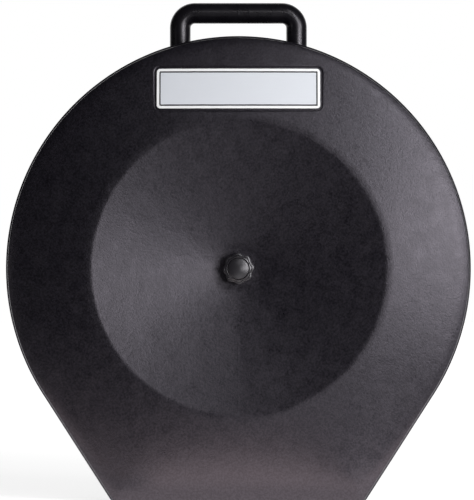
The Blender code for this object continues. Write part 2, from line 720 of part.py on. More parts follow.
def make_handle(base):
    """Adds the handle, its backing strip and its four screws, and returns the cutters of their holes."""
    handle = new_object("handle", handle_mesh(), MOULDED, base)
    cut(handle, make_cutter("handle_saddle", saddle_mesh(), base))
    strip_shape, strip_radius = strip_mesh()
    strip = new_object("handle_backing_strip", strip_shape, ZINC_STEEL, base)
    lean = math.asin(LEG_X / CASE_RADIUS)
    seat = strip_radius - ASSEMBLY_GAP
    length = CASE_RADIUS - wall_inset(HANDLE_Y) - seat + SCREW_GRIP
    holes = []
    for side, side_name in ((-1, "left"), (1, "right")):
        for end, end_name in ((-1, "front"), (1, "rear")):
            name = f"handle_screw_{end_name}_{side_name}"
            screw = new_object(name, screw_mesh(length), ZINC_STEEL, base)
            hole = make_cutter(f"hole_{end_name}_{side_name}", screw_cutter_mesh(length), base)
            for item in (screw, hole):
                x = side * seat * math.sin(lean)
                item.location = (x, HANDLE_Y + end * SCREW_PITCH / 2, seat * math.cos(lean))
                item.rotation_euler = (0, side * lean, 0)
            holes.append(hole)
    for target in (handle, strip):
        for hole in holes:
            cut(target, hole)
    return holes


def make_rod(base):
    """Adds the centre rod, the washers and nut that clamp it to the rear shell, and its sleeve."""
    outer_washer_end = OUTER_WASHER_Y + OUTER_WASHER_THICKNESS
    inner_washer_start = INNER_WASHER_Y - INNER_WASHER_THICKNESS
    rings = {
        "rod_outer_washer": (OUTER_WASHER_RADIUS, OUTER_WASHER_Y, outer_washer_end, ZINC_STEEL),
        "rod_inner_washer": (INNER_WASHER_RADIUS, inner_washer_start, INNER_WASHER_Y, ZINC_STEEL),
        "rod_sleeve": (RUNNING_BORE + SLEEVE_WALL, SLEEVE_FRONT_Y, SLEEVE_REAR_Y, NYLON),
    }
    new_object("centre_rod", spun("centre_rod", rod_profile()), ZINC_STEEL, base)
    for name, (outer, front_y, back_y, finish) in rings.items():
        new_object(name, spun(name, ring_profile(RUNNING_BORE, outer, front_y, back_y)), finish, base)
    nut = new_object("rod_lock_nut", nut_mesh(), ZINC_STEEL, base)
    bore = [(0, SLEEVE_FRONT_Y), (RUNNING_BORE, SLEEVE_FRONT_Y), (RUNNING_BORE, BACK_Y), (0, BACK_Y)]
    cut(nut, make_cutter("nut_bore", spun("nut_bore", bore), base))


def make_base(base):
    """Adds the rear shell and all that stays with it."""
    shell = new_object("rear_shell", rear_shell_mesh(), MOULDED, base)
    for hole in make_handle(base):
        cut(shell, hole)
    make_rod(base)
    bore = INNER_WASHER_RADIUS + PAD_BORE_CLEARANCE
    pad_start = INNER_WASHER_Y - REAR_PAD_THICKNESS
    pad = soft_ring_profile(bore, REAR_PAD_RADIUS, pad_start, INNER_WASHER_Y, PAD_EDGE)
    new_object("rear_foam_pad", spun("rear_foam_pad", pad), FOAM, base)


def make_plate(lid, shell):
    """Adds the name plate and its tape, and cuts their seat into the lid."""
    tape_back = TAPE_THICKNESS + PLATE_THICKNESS + 2 * ASSEMBLY_GAP - PLATE_PROUD
    pocket = plate_mesh(
        "plate_pocket",
        PLATE_WIDTH + 2 * PLATE_MARGIN,
        PLATE_HEIGHT + 2 * PLATE_MARGIN,
        PLATE_CORNER_RADIUS + PLATE_MARGIN,
        tape_back,
        tape_back + CUT_OVERRUN,
    )
    cut(shell, make_cutter("plate_pocket", pocket, lid))
    tape = plate_mesh(
        "plate_tape",
        PLATE_WIDTH - 2 * TAPE_MARGIN,
        PLATE_HEIGHT - 2 * TAPE_MARGIN,
        PLATE_CORNER_RADIUS,
        tape_back - ASSEMBLY_GAP,
        TAPE_THICKNESS,
    )
    new_object("plate_tape", tape, TAPE, lid)
    back = PLATE_THICKNESS - PLATE_PROUD
    plate = plate_mesh(
        "name_plate", PLATE_WIDTH, PLATE_HEIGHT, PLATE_CORNER_RADIUS, back, PLATE_THICKNESS
    )
    new_object("name_plate", plate, PLATE_SILVER, lid)


def make_lid(lid):
    """Adds the front shell and all that lifts off with it."""
    shell = new_object("front_shell", front_shell_mesh(), MOULDED, lid)
    make_plate(lid, shell)
    shoulder_y = BUSH_FACE_Y + BUSH_FLANGE_THICKNESS
    bush = [
        (BUSH_BORE, BUSH_FACE_Y),
        (BUSH_FLANGE_RADIUS, BUSH_FACE_Y),
        (BUSH_FLANGE_RADIUS, shoulder_y),
        (BUSH_BARREL_RADIUS, shoulder_y),
        (BUSH_BARREL_RADIUS, BUSH_TAIL_Y),
        (BUSH_BORE, BUSH_TAIL_Y),
    ]
    new_object("lid_bush", spun("lid_bush", bush), NYLON, lid)
    seat_y = BOSS_Y + WALL + ASSEMBLY_GAP
    retainer_bore = BUSH_BARREL_RADIUS + ASSEMBLY_GAP
    retainer = ring_profile(retainer_bore, RETAINER_RADIUS, seat_y, seat_y + RETAINER_THICKNESS)
    new_object("lid_bush_retainer", spun("lid_bush_retainer", retainer), NYLON, lid)
    pad_bore = RETAINER_RADIUS + PAD_BORE_CLEARANCE
    pad_end = seat_y + FRONT_PAD_THICKNESS
    pad = soft_ring_profile(pad_bore, FRONT_PAD_RADIUS, seat_y, pad_end, PAD_EDGE)
    new_object("front_foam_pad", spun("front_foam_pad", pad), FOAM, lid)


def make_knob(thrust, knob):
    """Adds the knob's thrust washer, body, threaded insert and domed cap."""
    washer_end = KNOB_WASHER_Y + KNOB_WASHER_THICKNESS
    washer = ring_profile(RUNNING_BORE, KNOB_WASHER_RADIUS, KNOB_WASHER_Y, washer_end)
    new_object("knob_washer", spun("knob_washer", washer), NYLON, thrust)
    new_object("knob_body", knob_mesh(), KNOB_PLASTIC, knob)
    flange_y = CAP_SEAT_Y + INSERT_FLANGE_THICKNESS
    insert = [
        (RUNNING_BORE, CAP_SEAT_Y),
        (INSERT_FLANGE_RADIUS, CAP_SEAT_Y),
        (INSERT_FLANGE_RADIUS, flange_y),
        (INSERT_RADIUS, flange_y),
        (INSERT_RADIUS, KNOB_BASE_Y),
        (RUNNING_BORE, KNOB_BASE_Y),
    ]
    new_object("knob_insert", spun("knob_insert", insert), BRASS, knob)
    new_object("knob_cap", spun("knob_cap", cap_profile()), KNOB_PLASTIC, knob)


def main():
    """Clears the scene and builds the case."""
    for obj in list(bpy.data.objects):
        bpy.data.objects.remove(obj)
    base = body_empty("base_body")
    lid = body_empty("lid_body", parent=base)
    thrust = body_empty("knob_thrust_body", parent=lid)
    knob = body_empty("knob_body_empty", parent=thrust)
    make_base(base)
    make_lid(lid)
    make_knob(thrust, knob)


main()
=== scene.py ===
"""Dresses the hard cymbal case: its fine shapes, finishes, studio light and camera.

Metres, +Z up, front towards -Y. The case axis runs along Y through the centre of the round.
Meshes are drawn about the case axis and lifted to it when they are finished.
"""

from __future__ import annotations

import logging
import math
from dataclasses import dataclass
from enum import Enum
from typing import Any, Sequence, Union

import bmesh
import bpy
from mathutils import Matrix, Vector


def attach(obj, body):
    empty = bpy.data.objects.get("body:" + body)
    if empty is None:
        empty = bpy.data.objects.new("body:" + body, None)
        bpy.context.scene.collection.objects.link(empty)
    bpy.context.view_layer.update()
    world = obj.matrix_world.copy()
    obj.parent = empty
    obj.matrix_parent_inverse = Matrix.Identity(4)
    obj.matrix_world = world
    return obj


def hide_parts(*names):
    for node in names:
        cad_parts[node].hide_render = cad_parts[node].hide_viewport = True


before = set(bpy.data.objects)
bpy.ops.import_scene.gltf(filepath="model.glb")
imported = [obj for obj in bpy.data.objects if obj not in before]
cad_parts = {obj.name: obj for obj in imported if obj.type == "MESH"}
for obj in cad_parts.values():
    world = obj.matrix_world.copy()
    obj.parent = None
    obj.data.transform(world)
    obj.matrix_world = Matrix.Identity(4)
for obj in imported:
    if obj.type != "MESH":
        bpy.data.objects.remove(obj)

LOG = logging.getLogger("cymbal_case")

Point = tuple[float, float]
Points = list[Point]
Station = tuple[Points, float]
Colour = tuple[float, float, float]
Triple = tuple[float, float, float]
BMesh = bmesh.types.BMesh
BMVert = bmesh.types.BMVert
BMEdge = bmesh.types.BMEdge
BMFace = bmesh.types.BMFace

WHITE: Colour = (1.0, 1.0, 1.0)
PLASTIC_IOR = 1.5
SAME_PLACE = 0.000001
CORNER_SEGMENTS = 8


class Body(Enum):
    """The moving bodies that a piece can ride on."""

    BASE = "base"
    LID = "lid"
    CARRIER = "knob_carrier"
    KNOB = "knob"


class Slot(Enum):
    """The record's material slots."""

    SHELL = "shell_plastic"
    HANDLE = "handle_plastic"
    KNOB = "knob_plastic"
    NYLON = "black_nylon"
    PLATE = "plate_silver"
    TAPE = "adhesive_tape"
    FOAM = "grey_foam"
    STEEL = "zinc_steel"
    BRASS = "brass"


class Join(Enum):
    """What a second shape does to the first."""

    CUT = "DIFFERENCE"
    KEEP_SHARED = "INTERSECT"


def steps(start: float, end: float, count: int) -> list[float]:
    """Spaces values evenly.

    Args:
        start: The first value.
        end: The last value.
        count: How many gaps lie between them.

    Returns:
        count + 1 values from start to end.
    """
    return [start + (end - start) * step / count for step in range(count + 1)]


def arc(centre: Point, radius: float, angles: Sequence[float]) -> Points:
    """Lays points on a round.

    Args:
        centre: The round's centre as (x, z).
        radius: The round's radius.
        angles: Bearings in radians, from +X towards +Z.

    Returns:
        One (x, z) point for each bearing.
    """
    return [(centre[0] + radius * math.cos(a), centre[1] + radius * math.sin(a)) for a in angles]


def eased_share(value: float, start: float, end: float) -> float:
    """Gives how far a value has come from a start to an end, easing in and out.

    Args:
        value: The value.
        start: Where the share is 0.
        end: Where the share is 1, which may lie below start.

    Returns:
        A share from 0 to 1.
    """
    share = min(1.0, max(0.0, (value - start) / (end - start)))
    return share * share * (3 - 2 * share)


def straight(start: Point, end: Point, count: int) -> Points:
    """Lays points on a straight stretch.

    Args:
        start: Where the stretch begins, which is left out.
        end: Where it ends.
        count: How many points to lay.

    Returns:
        The (x, z) points after start, up to and with end.
    """
    shares = steps(0, 1, count)[1:]
    return [(start[0] + (end[0] - start[0]) * s, start[1] + (end[1] - start[1]) * s) for s in shares]


@dataclass(frozen=True)
class CaseForm:
    """The sizes that both shells share, and the case's outline seen from the front."""

    radius: float = 0.300
    lean: float = math.radians(32.7)
    foot_corner: float = 0.006
    depth: float = 0.140
    wall: float = 0.004
    gap: float = 0.0003
    skirt_land: float = 0.0134
    bead_height: float = 0.002
    bead_width: float = 0.006
    bead_bevel: float = 0.0013
    lip: float = 0.0023
    tongue: float = 0.012
    rim_runout: float = 0.004
    lid_draft: float = 0.0015
    lid_fillet: float = 0.006
    roll_width: float = 0.0155
    roll_tilt: float = math.radians(29)
    roll_fillet: float = 0.002
    ring_width: float = 0.109
    ridge_fillet: float = 0.020
    ring_fillet: float = 0.060
    dish_turn: float = math.radians(13.4)
    ring_turn: float = math.radians(8.0)
    face_fall: float = 0.019
    dish_depth: float = 0.0355
    boss_radius: float = 0.024
    rear_draft: float = 0.0025
    rear_fillet: float = 0.014
    panel_recess: float = 0.004
    pocket_depth: float = 0.012
    round_steps: int = 168
    flank_steps: int = 18
    corner_steps: int = 6
    foot_steps: int = 28
    corner_reach: int = 20

    @property
    def ridge_radius(self) -> float:
        """Radius of the ridge between the dish and the ring."""
        return self.radius - self.ring_width

    @property
    def front_y(self) -> float:
        """Depth of the foremost ridge."""
        return -self.depth / 2

    @property
    def back_y(self) -> float:
        """Depth of the back land."""
        return self.depth / 2

    @property
    def boss_y(self) -> float:
        """Depth of the flat boss under the knob."""
        return self.front_y + self.dish_depth

    @property
    def lid_inset(self) -> float:
        """How far the lid's wall lies in from the bead where its face fillet starts."""
        return self.bead_height + self.lid_draft

    @property
    def rear_inset(self) -> float:
        """How far the rear wall lies in from the bead where its back fillet starts."""
        return self.bead_height + self.rear_draft

    @property
    def rabbet_inset(self) -> float:
        """How far the inside of the lid's lip lies in from the bead."""
        return self.bead_height + self.lip

    @property
    def tongue_inset(self) -> float:
        """How far the rear shell's tongue lies in from the bead."""
        return self.rabbet_inset + self.gap

    @property
    def face_slope(self) -> float:
        """Slope of the ring from the ridge out to its edge."""
        run = self.radius - self.lid_inset - self.lid_fillet - self.ridge_radius
        return math.atan2(self.face_fall, run)

    @property
    def lid_fillet_y(self) -> float:
        """Depth of the centre of the lid's edge fillet."""
        return self.front_y + self.face_fall + self.lid_fillet * math.cos(self.face_slope)

    @property
    def parting_y(self) -> float:
        """Depth of the joint between the two shells."""
        return self.lid_fillet_y + self.skirt_land + self.tongue

    @property
    def rear_fillet_y(self) -> float:
        """Depth of the centre of the rear shell's edge fillet."""
        return self.back_y - self.rear_fillet

    @property
    def panel_y(self) -> float:
        """Depth of the sunk back panel."""
        return self.back_y - self.panel_recess

    @property
    def pocket_y(self) -> float:
        """Depth of the floor of the rod head's pocket."""
        return self.back_y - self.pocket_depth

    @property
    def shoulder_y(self) -> float:
        """Depth where the rear shell's bead has run out into the wall."""
        return self.parting_y + self.gap + self.bead_width + self.bead_bevel

    def rear_wall_inset(self, y: float) -> float:
        """Gives the rear wall's draft.

        Args:
            y: The depth.

        Returns:
            How far the wall lies in from the bead at this depth.
        """
        share = (y - self.shoulder_y) / (self.rear_fillet_y - self.shoulder_y)
        return self.bead_height + self.rear_draft * share

    def points(self, side_inset: float, foot_inset: float) -> Points:
        """Lays points round the outline.

        Args:
            side_inset: How far the line is moved in from the round and the flanks.
            foot_inset: How far it is moved up from the foot.

        Returns:
            The (x, z) points about the case axis, from the right flank round over the top.
        """
        radius = self.radius - side_inset
        corner_z = foot_inset - self.radius + self.foot_corner
        reach = radius - self.foot_corner + corner_z * math.sin(self.lean)
        corner_x = reach / math.cos(self.lean)
        left_turn = steps(math.pi + self.lean, 1.5 * math.pi, self.corner_steps)
        right_turn = steps(1.5 * math.pi, 2 * math.pi - self.lean, self.corner_steps)
        left = arc((-corner_x, corner_z), self.foot_corner, left_turn)
        right = arc((corner_x, corner_z), self.foot_corner, right_turn)
        line = arc((0, 0), radius, steps(-self.lean, math.pi + self.lean, self.round_steps))
        line += straight(line[-1], left[0], self.flank_steps)
        line += left[1:]
        line += straight(left[-1], right[0], self.foot_steps)
        line += right[1:]
        line += straight(right[-1], line[0], self.flank_steps)
        return line[:-1]

    @staticmethod
    def eased(points: Points, reach: int) -> Points:
        """Rounds an outline's corners by averaging each point with its neighbours.

        Args:
            points: The closed outline.
            reach: How many neighbours to either side count.

        Returns:
            The softened outline.
        """
        count = len(points)
        weights = {shift: reach + 1 - abs(shift) for shift in range(-reach, reach + 1)}
        total = sum(weights.values())
        softened = []
        for index in range(count):
            near = [(points[(index + shift) % count], weight) for shift, weight in weights.items()]
            x = sum(point[0] * weight for point, weight in near) / total
            z = sum(point[1] * weight for point, weight in near) / total
            softened.append((x, z))
        return softened

    def round_points(self, radius: float) -> Points:
        """Lays points on a round, one on the bearing of each outline point.

        Args:
            radius: The round's radius.

        Returns:
            The (x, z) points about the case axis.
        """
        bearings = [math.atan2(z, x) for x, z in self.points(self.lid_inset, 0)]
        return arc((0, 0), radius, bearings)

    def crest_place(self, turn: float, wall: float) -> Point:
        """Gives a place on the ridge, which is tighter on the dish side than on the ring side.

        Args:
            turn: How far the surface is turned there, negative on the dish side.
            wall: How far it lies under the outer surface.

        Returns:
            Its distance from the case axis, and its depth.
        """
        fillet = self.ridge_fillet if turn < 0 else self.ring_fillet
        reach = self.ridge_radius + (fillet - wall) * math.sin(turn)
        return reach, self.front_y + fillet - (fillet - wall) * math.cos(turn)

    def crest(self, wall: float, count: int) -> list[Station]:
        """Lays the stations over the ridge.

        Args:
            wall: How far they lie under the outer surface.
            count: How many gaps lie on either side of the crest.

        Returns:
            The stations from the dish side to the ring side.
        """
        turns = steps(-self.dish_turn, 0, count) + steps(0, self.ring_turn, count)[1:]
        places = [self.crest_place(turn, wall) for turn in turns]
        return [(self.round_points(reach), y) for reach, y in places]

    def dish(self, wall: float, inner_y: float, count: int) -> list[Station]:
        """Lays the stations between the boss and the ridge, on a slightly hollow slope.

        Args:
            wall: How far they lie under the outer surface.
            inner_y: The depth at the boss's edge.
            count: How many gaps lie between the boss and the ridge.

        Returns:
            The stations from the boss out, without either end.
        """
        outer, outer_y = self.crest_place(-self.dish_turn, wall)
        run = outer - self.boss_radius
        sag = math.tan(self.dish_turn) * run - (inner_y - outer_y)
        stations = []
        for share in steps(0, 1, count)[1:-1]:
            y = inner_y + (outer_y - inner_y) * share + sag * share * (1 - share)
            stations.append((self.round_points(self.boss_radius + run * share), y))
        return stations

    def face(self, wall: float, count: int) -> list[Station]:
        """Lays the stations of the ring, with its slight crown.

        Args:
            wall: How far they lie under the outer surface.
            count: How many gaps lie between the ridge and the edge fillet.

        Returns:
            The stations from the ridge out, without either end.
        """
        reach, inner_y = self.crest_place(self.ring_turn, wall)
        inset, outer_y = self.ring_end(wall)
        inner = self.round_points(reach)
        outer = self.points(self.lid_inset + inset, inset)
        crown = self.crown(wall)
        stations = []
        for share in steps(0, 1, count)[1:-1]:
            softer = self.eased(outer, round(self.corner_reach * (1 - share * share)))
            ring = [
                (a[0] + (b[0] - a[0]) * share, a[1] + (b[1] - a[1]) * share)
                for a, b in zip(inner, softer)
            ]
            stations.append((ring, inner_y + (outer_y - inner_y) * share - crown * share * (1 - share)))
        return stations

    def crown(self, wall: float) -> float:
        """Gives four times the ring's crown, which makes it leave the ridge without a kink.

        Args:
            wall: How far the skin lies under the outer surface.

        Returns:
            The factor of share * (1 - share) across the ring.
        """
        inner, inner_y = self.crest_place(self.ring_turn, wall)
        inset, outer_y = self.ring_end(wall)
        run = self.radius - self.lid_inset - inset - inner
        return outer_y - inner_y - math.tan(self.ring_turn) * run

    def ring_end(self, wall: float) -> tuple[float, float]:
        """Gives where the ring ends and its edge starts.

        Args:
            wall: How far the skin lies under the outer surface.

        Returns:
            How far that line lies in from the lid's wall, and its depth.
        """
        fillet = self.lid_fillet - wall
        inset = self.lid_fillet - fillet * math.sin(self.face_slope)
        y = self.lid_fillet_y - fillet * math.cos(self.face_slope)
        if wall:
            return inset, y
        return self.roll_width, y - (self.roll_width - inset) * math.tan(self.face_slope)

    def roll(self, count: int) -> list[Station]:
        """Lays the outer stations where the ring rolls over softly into the lid's wall.

        Args:
            count: How many gaps lie in the roll, and again in the tight fillet that ends it.

        Returns:
            The stations from the ring to the wall.
        """
        inset, y = self.ring_end(0)
        inner, inner_y = self.crest_place(self.ring_turn, 0)
        run = self.radius - self.lid_inset - inset - inner
        first = (y - inner_y + self.crown(0)) / run
        last = math.tan(self.roll_tilt)
        wide = inset - self.roll_fillet * (1 - math.sin(self.roll_tilt))
        places = [
            (inset - wide * share, y + wide * (first * share + (last - first) * share**3 / 3))
            for share in steps(0, 1, count)
        ]
        centre_y = places[-1][1] + self.roll_fillet * math.cos(self.roll_tilt)
        for turn in steps(self.roll_tilt, math.pi / 2, count)[1:]:
            across = self.roll_fillet * (1 - math.sin(turn))
            places.append((across, centre_y - self.roll_fillet * math.cos(turn)))
        return [(self.points(self.lid_inset + across, across), depth) for across, depth in places]

    def lid_edge(self, wall: float, count: int) -> list[Station]:
        """Lays the stations of the lid's inner edge fillet, from the ring to the wall.

        Args:
            wall: How far they lie under the outer surface.
            count: How many gaps lie between them.

        Returns:
            The stations.
        """
        stations = []
        for turn in steps(self.face_slope, math.pi / 2, count):
            inset = self.lid_fillet - (self.lid_fillet - wall) * math.sin(turn)
            y = self.lid_fillet_y - (self.lid_fillet - wall) * math.cos(turn)
            stations.append((self.points(self.lid_inset + inset, inset), y))
        return stations

    def back_edge(self, wall: float, count: int) -> list[Station]:
        """Lays the stations of the rear shell's edge fillet, from the back land to the wall.

        Args:
            wall: How far they lie under the outer surface.
            count: How many gaps lie between them.

        Returns:
            The stations.
        """
        stations = []
        for turn in steps(0, math.pi / 2, count):
            inset = self.rear_fillet - (self.rear_fillet - wall) * math.sin(turn)
            y = self.rear_fillet_y + (self.rear_fillet - wall) * math.cos(turn)
            stations.append((self.points(self.rear_inset + inset, inset), y))
        return stations

    def lid_face_y(self, radius: float) -> float:
        """Gives the depth of the lid's ring above the flanks.

        Args:
            radius: Distance from the case axis.

        Returns:
            The depth of the surface, ridge and crown included.
        """
        inner, inner_y = self.crest_place(self.ring_turn, 0)
        if radius < inner:
            reach = radius - self.ridge_radius
            return self.front_y + self.ring_fillet - math.sqrt(self.ring_fillet**2 - reach**2)
        inset, edge_y = self.ring_end(0)
        share = (radius - inner) / (self.radius - self.lid_inset - inset - inner)
        return inner_y + (edge_y - inner_y) * share - self.crown(0) * share * (1 - share)


FORM = CaseForm()
TO_CASE_AXIS = Matrix.Translation((0, 0, FORM.radius))


# Shader maths

Value = Union["Signal", float]


class Signal:
    """A value that varies over a surface. Sums on it add Math nodes to its graph."""

    def __init__(self, graph: "Graph", socket: bpy.types.NodeSocket) -> None:
        """Wraps one output socket of a graph."""
        self.graph = graph
        self.socket = socket

    def __add__(self, other: Value) -> "Signal":
        """Adds a value."""
        return self.graph.math("ADD", self, other)

    __radd__ = __add__

    def __sub__(self, other: Value) -> "Signal":
        """Takes a value away."""
        return self.graph.math("SUBTRACT", self, other)

    def __rsub__(self, other: Value) -> "Signal":
        """Takes this away from a value."""
        return self.graph.math("SUBTRACT", other, self)

    def __mul__(self, other: Value) -> "Signal":
        """Multiplies by a value."""
        return self.graph.math("MULTIPLY", self, other)

    __rmul__ = __mul__

    def __truediv__(self, other: Value) -> "Signal":
        """Divides by a value."""
        return self.graph.math("DIVIDE", self, other)

    def __abs__(self) -> "Signal":
        """Drops the sign."""
        return self.graph.math("ABSOLUTE", self)

    def at_least(self, other: Value) -> "Signal":
        """Gives the larger of this and a value."""
        return self.graph.math("MAXIMUM", self, other)

    def at_most(self, other: Value) -> "Signal":
        """Gives the smaller of this and a value."""
        return self.graph.math("MINIMUM", self, other)

    def sine(self) -> "Signal":
        """Gives the sine of this angle."""
        return self.graph.math("SINE", self)

    def root(self) -> "Signal":
        """Gives the square root."""
        return self.graph.math("SQRT", self)

    def rise(self, start: float, end: float) -> "Signal":
        """Turns this into a soft step.

        Args:
            start: Where the step is 0.
            end: Where the step is 1, which may lie below start.

        Returns:
            A share from 0 to 1 that eases in and out.
        """
        share = ((self - start) / (end - start)).at_least(0).at_most(1)
        return share * share * (3 - 2 * share)

    def bump_at(self, centre: float, width: float) -> "Signal":
        """Turns this into a soft bump.

        Args:
            centre: Where the bump is 1.
            width: How far to either side it has fallen to 0.

        Returns:
            A share from 0 to 1.
        """
        return abs(self - centre).rise(width, 0)


class Graph:
    """A node tree that signals are worked out in."""

    def __init__(self, tree: bpy.types.NodeTree) -> None:
        """Wraps a node tree."""
        self.tree = tree

    def feed(self, socket: bpy.types.NodeSocket, value: Any) -> None:
        """Sets a socket or links it.

        Args:
            socket: The input.
            value: A signal, a number or a tuple. A colour may leave out its alpha.
        """
        if isinstance(value, Signal):
            self.tree.links.new(value.socket, socket)
            return
        if isinstance(value, tuple) and socket.type == "RGBA" and len(value) == 3:
            value = (*value, 1.0)
        socket.default_value = value

    def node(
        self,
        kind: str,
        settings: dict[str, Any] | None = None,
        inputs: dict[Union[int, str], Any] | None = None,
        output: Union[int, str] = 0,
    ) -> Signal:
        """Adds a node.

        Args:
            kind: The node's type.
            settings: Its own settings, which are set first.
            inputs: The values or signals of its sockets, by name or place.
            output: The socket that is returned.

        Returns:
            The signal of that output.
        """
        made = self.tree.nodes.new(kind)
        for name, value in (settings or {}).items():
            setattr(made, name, value)
        for key, value in (inputs or {}).items():
            self.feed(made.inputs[key], value)
        return Signal(self, made.outputs[output])

    def math(self, operation: str, *values: Value) -> Signal:
        """Adds a Math node.

        Args:
            operation: The node's operation.
            values: Its numbers or signals.

        Returns:
            The result's signal.
        """
        return self.node("ShaderNodeMath", {"operation": operation}, dict(enumerate(values)))

    def ray(self, kind: str) -> Signal:
        """Gives 1 for rays of one kind, such as Camera, and 0 for the rest."""
        return self.node("ShaderNodeLightPath", output=f"Is {kind} Ray")

    def seen(self) -> Signal:
        """Gives 1 for camera, glossy and transmission rays and 0 for the rest."""
        return self.ray("Camera").at_least(self.ray("Glossy")).at_least(self.ray("Transmission"))

    def parts(self, vector: Signal) -> dict[str, Signal]:
        """Splits a vector into its x, y and z."""
        made = self.node("ShaderNodeSeparateXYZ", None, {0: vector}).socket.node
        return {key: Signal(self, made.outputs[key.upper()]) for key in "xyz"}

    def blend(self, first: Any, second: Any, share: Value) -> Signal:
        """Mixes two colours.

        Args:
            first: The colour at share 0.
            second: The colour at share 1.
            share: The share, as a signal or a number.

        Returns:
            The mixed colour.
        """
        made = self.node("ShaderNodeMix", {"data_type": "RGBA"}, {0: share}).socket.node
        inputs = [socket for socket in made.inputs if socket.type == "RGBA"]
        for socket, value in zip(inputs, (first, second)):
            self.feed(socket, value)
        return Signal(self, next(socket for socket in made.outputs if socket.type == "RGBA"))


class FinishGraph(Graph):
    """The node graph of one material, with its Principled shader."""

    def __init__(self, name: str) -> None:
        """Makes a material with nodes under this name."""
        self.material = bpy.data.materials.new(name)
        self.material.use_nodes = True
        super().__init__(self.material.node_tree)
        self.shader = self.tree.nodes["Principled BSDF"]
        self.point = self.node("ShaderNodeTexCoord", output="Object")
        self.axes = self.parts(self.point)

    def radius(self) -> Signal:
        """Gives the distance from the case axis."""
        up = self.axes["z"] - FORM.radius
        return (self.axes["x"] * self.axes["x"] + up * up).root()

    def noise(
        self,
        size: float,
        detail: float = 2.0,
        roughness: float = 0.5,
        stretch: Triple | None = None,
        distortion: float = 0.0,
    ) -> Signal:
        """Adds a noise pattern.

        Args:
            size: The size of its largest blobs, in metres.
            detail: How many finer layers it has.
            roughness: How strong they are.
            stretch: Factors along x, y and z that squeeze the pattern, or None.
            distortion: How much it is bent.

        Returns:
            Its value, from 0 to 1 around a half.
        """
        place = self.point
        if stretch is not None:
            place = self.node("ShaderNodeVectorMath", {"operation": "MULTIPLY"}, {0: place, 1: stretch})
        inputs = {
            "Vector": place,
            "Scale": 1 / size,
            "Detail": detail,
            "Roughness": roughness,
            "Distortion": distortion,
        }
        return self.node("ShaderNodeTexNoise", {"noise_dimensions": "3D"}, inputs)

    def cells(self, size: float, softness: float) -> Signal:
        """Adds a pattern of rounded pebbles.

        Args:
            size: The size of a pebble, in metres.
            softness: How much the valleys between pebbles are filled.

        Returns:
            The distance from each pebble's middle, in pebble sizes.
        """
        inputs = {"Vector": self.point, "Scale": 1 / size, "Smoothness": softness}
        return self.node("ShaderNodeTexVoronoi", {"feature": "SMOOTH_F1"}, inputs)

    def relief(self, height: Signal) -> None:
        """Feeds a height in metres to the shader's normal."""
        inputs = {"Strength": 1.0, "Distance": 1.0, "Height": height}
        self.feed(self.shader.inputs["Normal"], self.node("ShaderNodeBump", None, inputs))

    def set(self, **values: Any) -> None:
        """Sets or links the shader's sockets, named with underscores for spaces."""
        for name, value in values.items():
            self.feed(self.shader.inputs[name.replace("_", " ")], value)


# Finishes


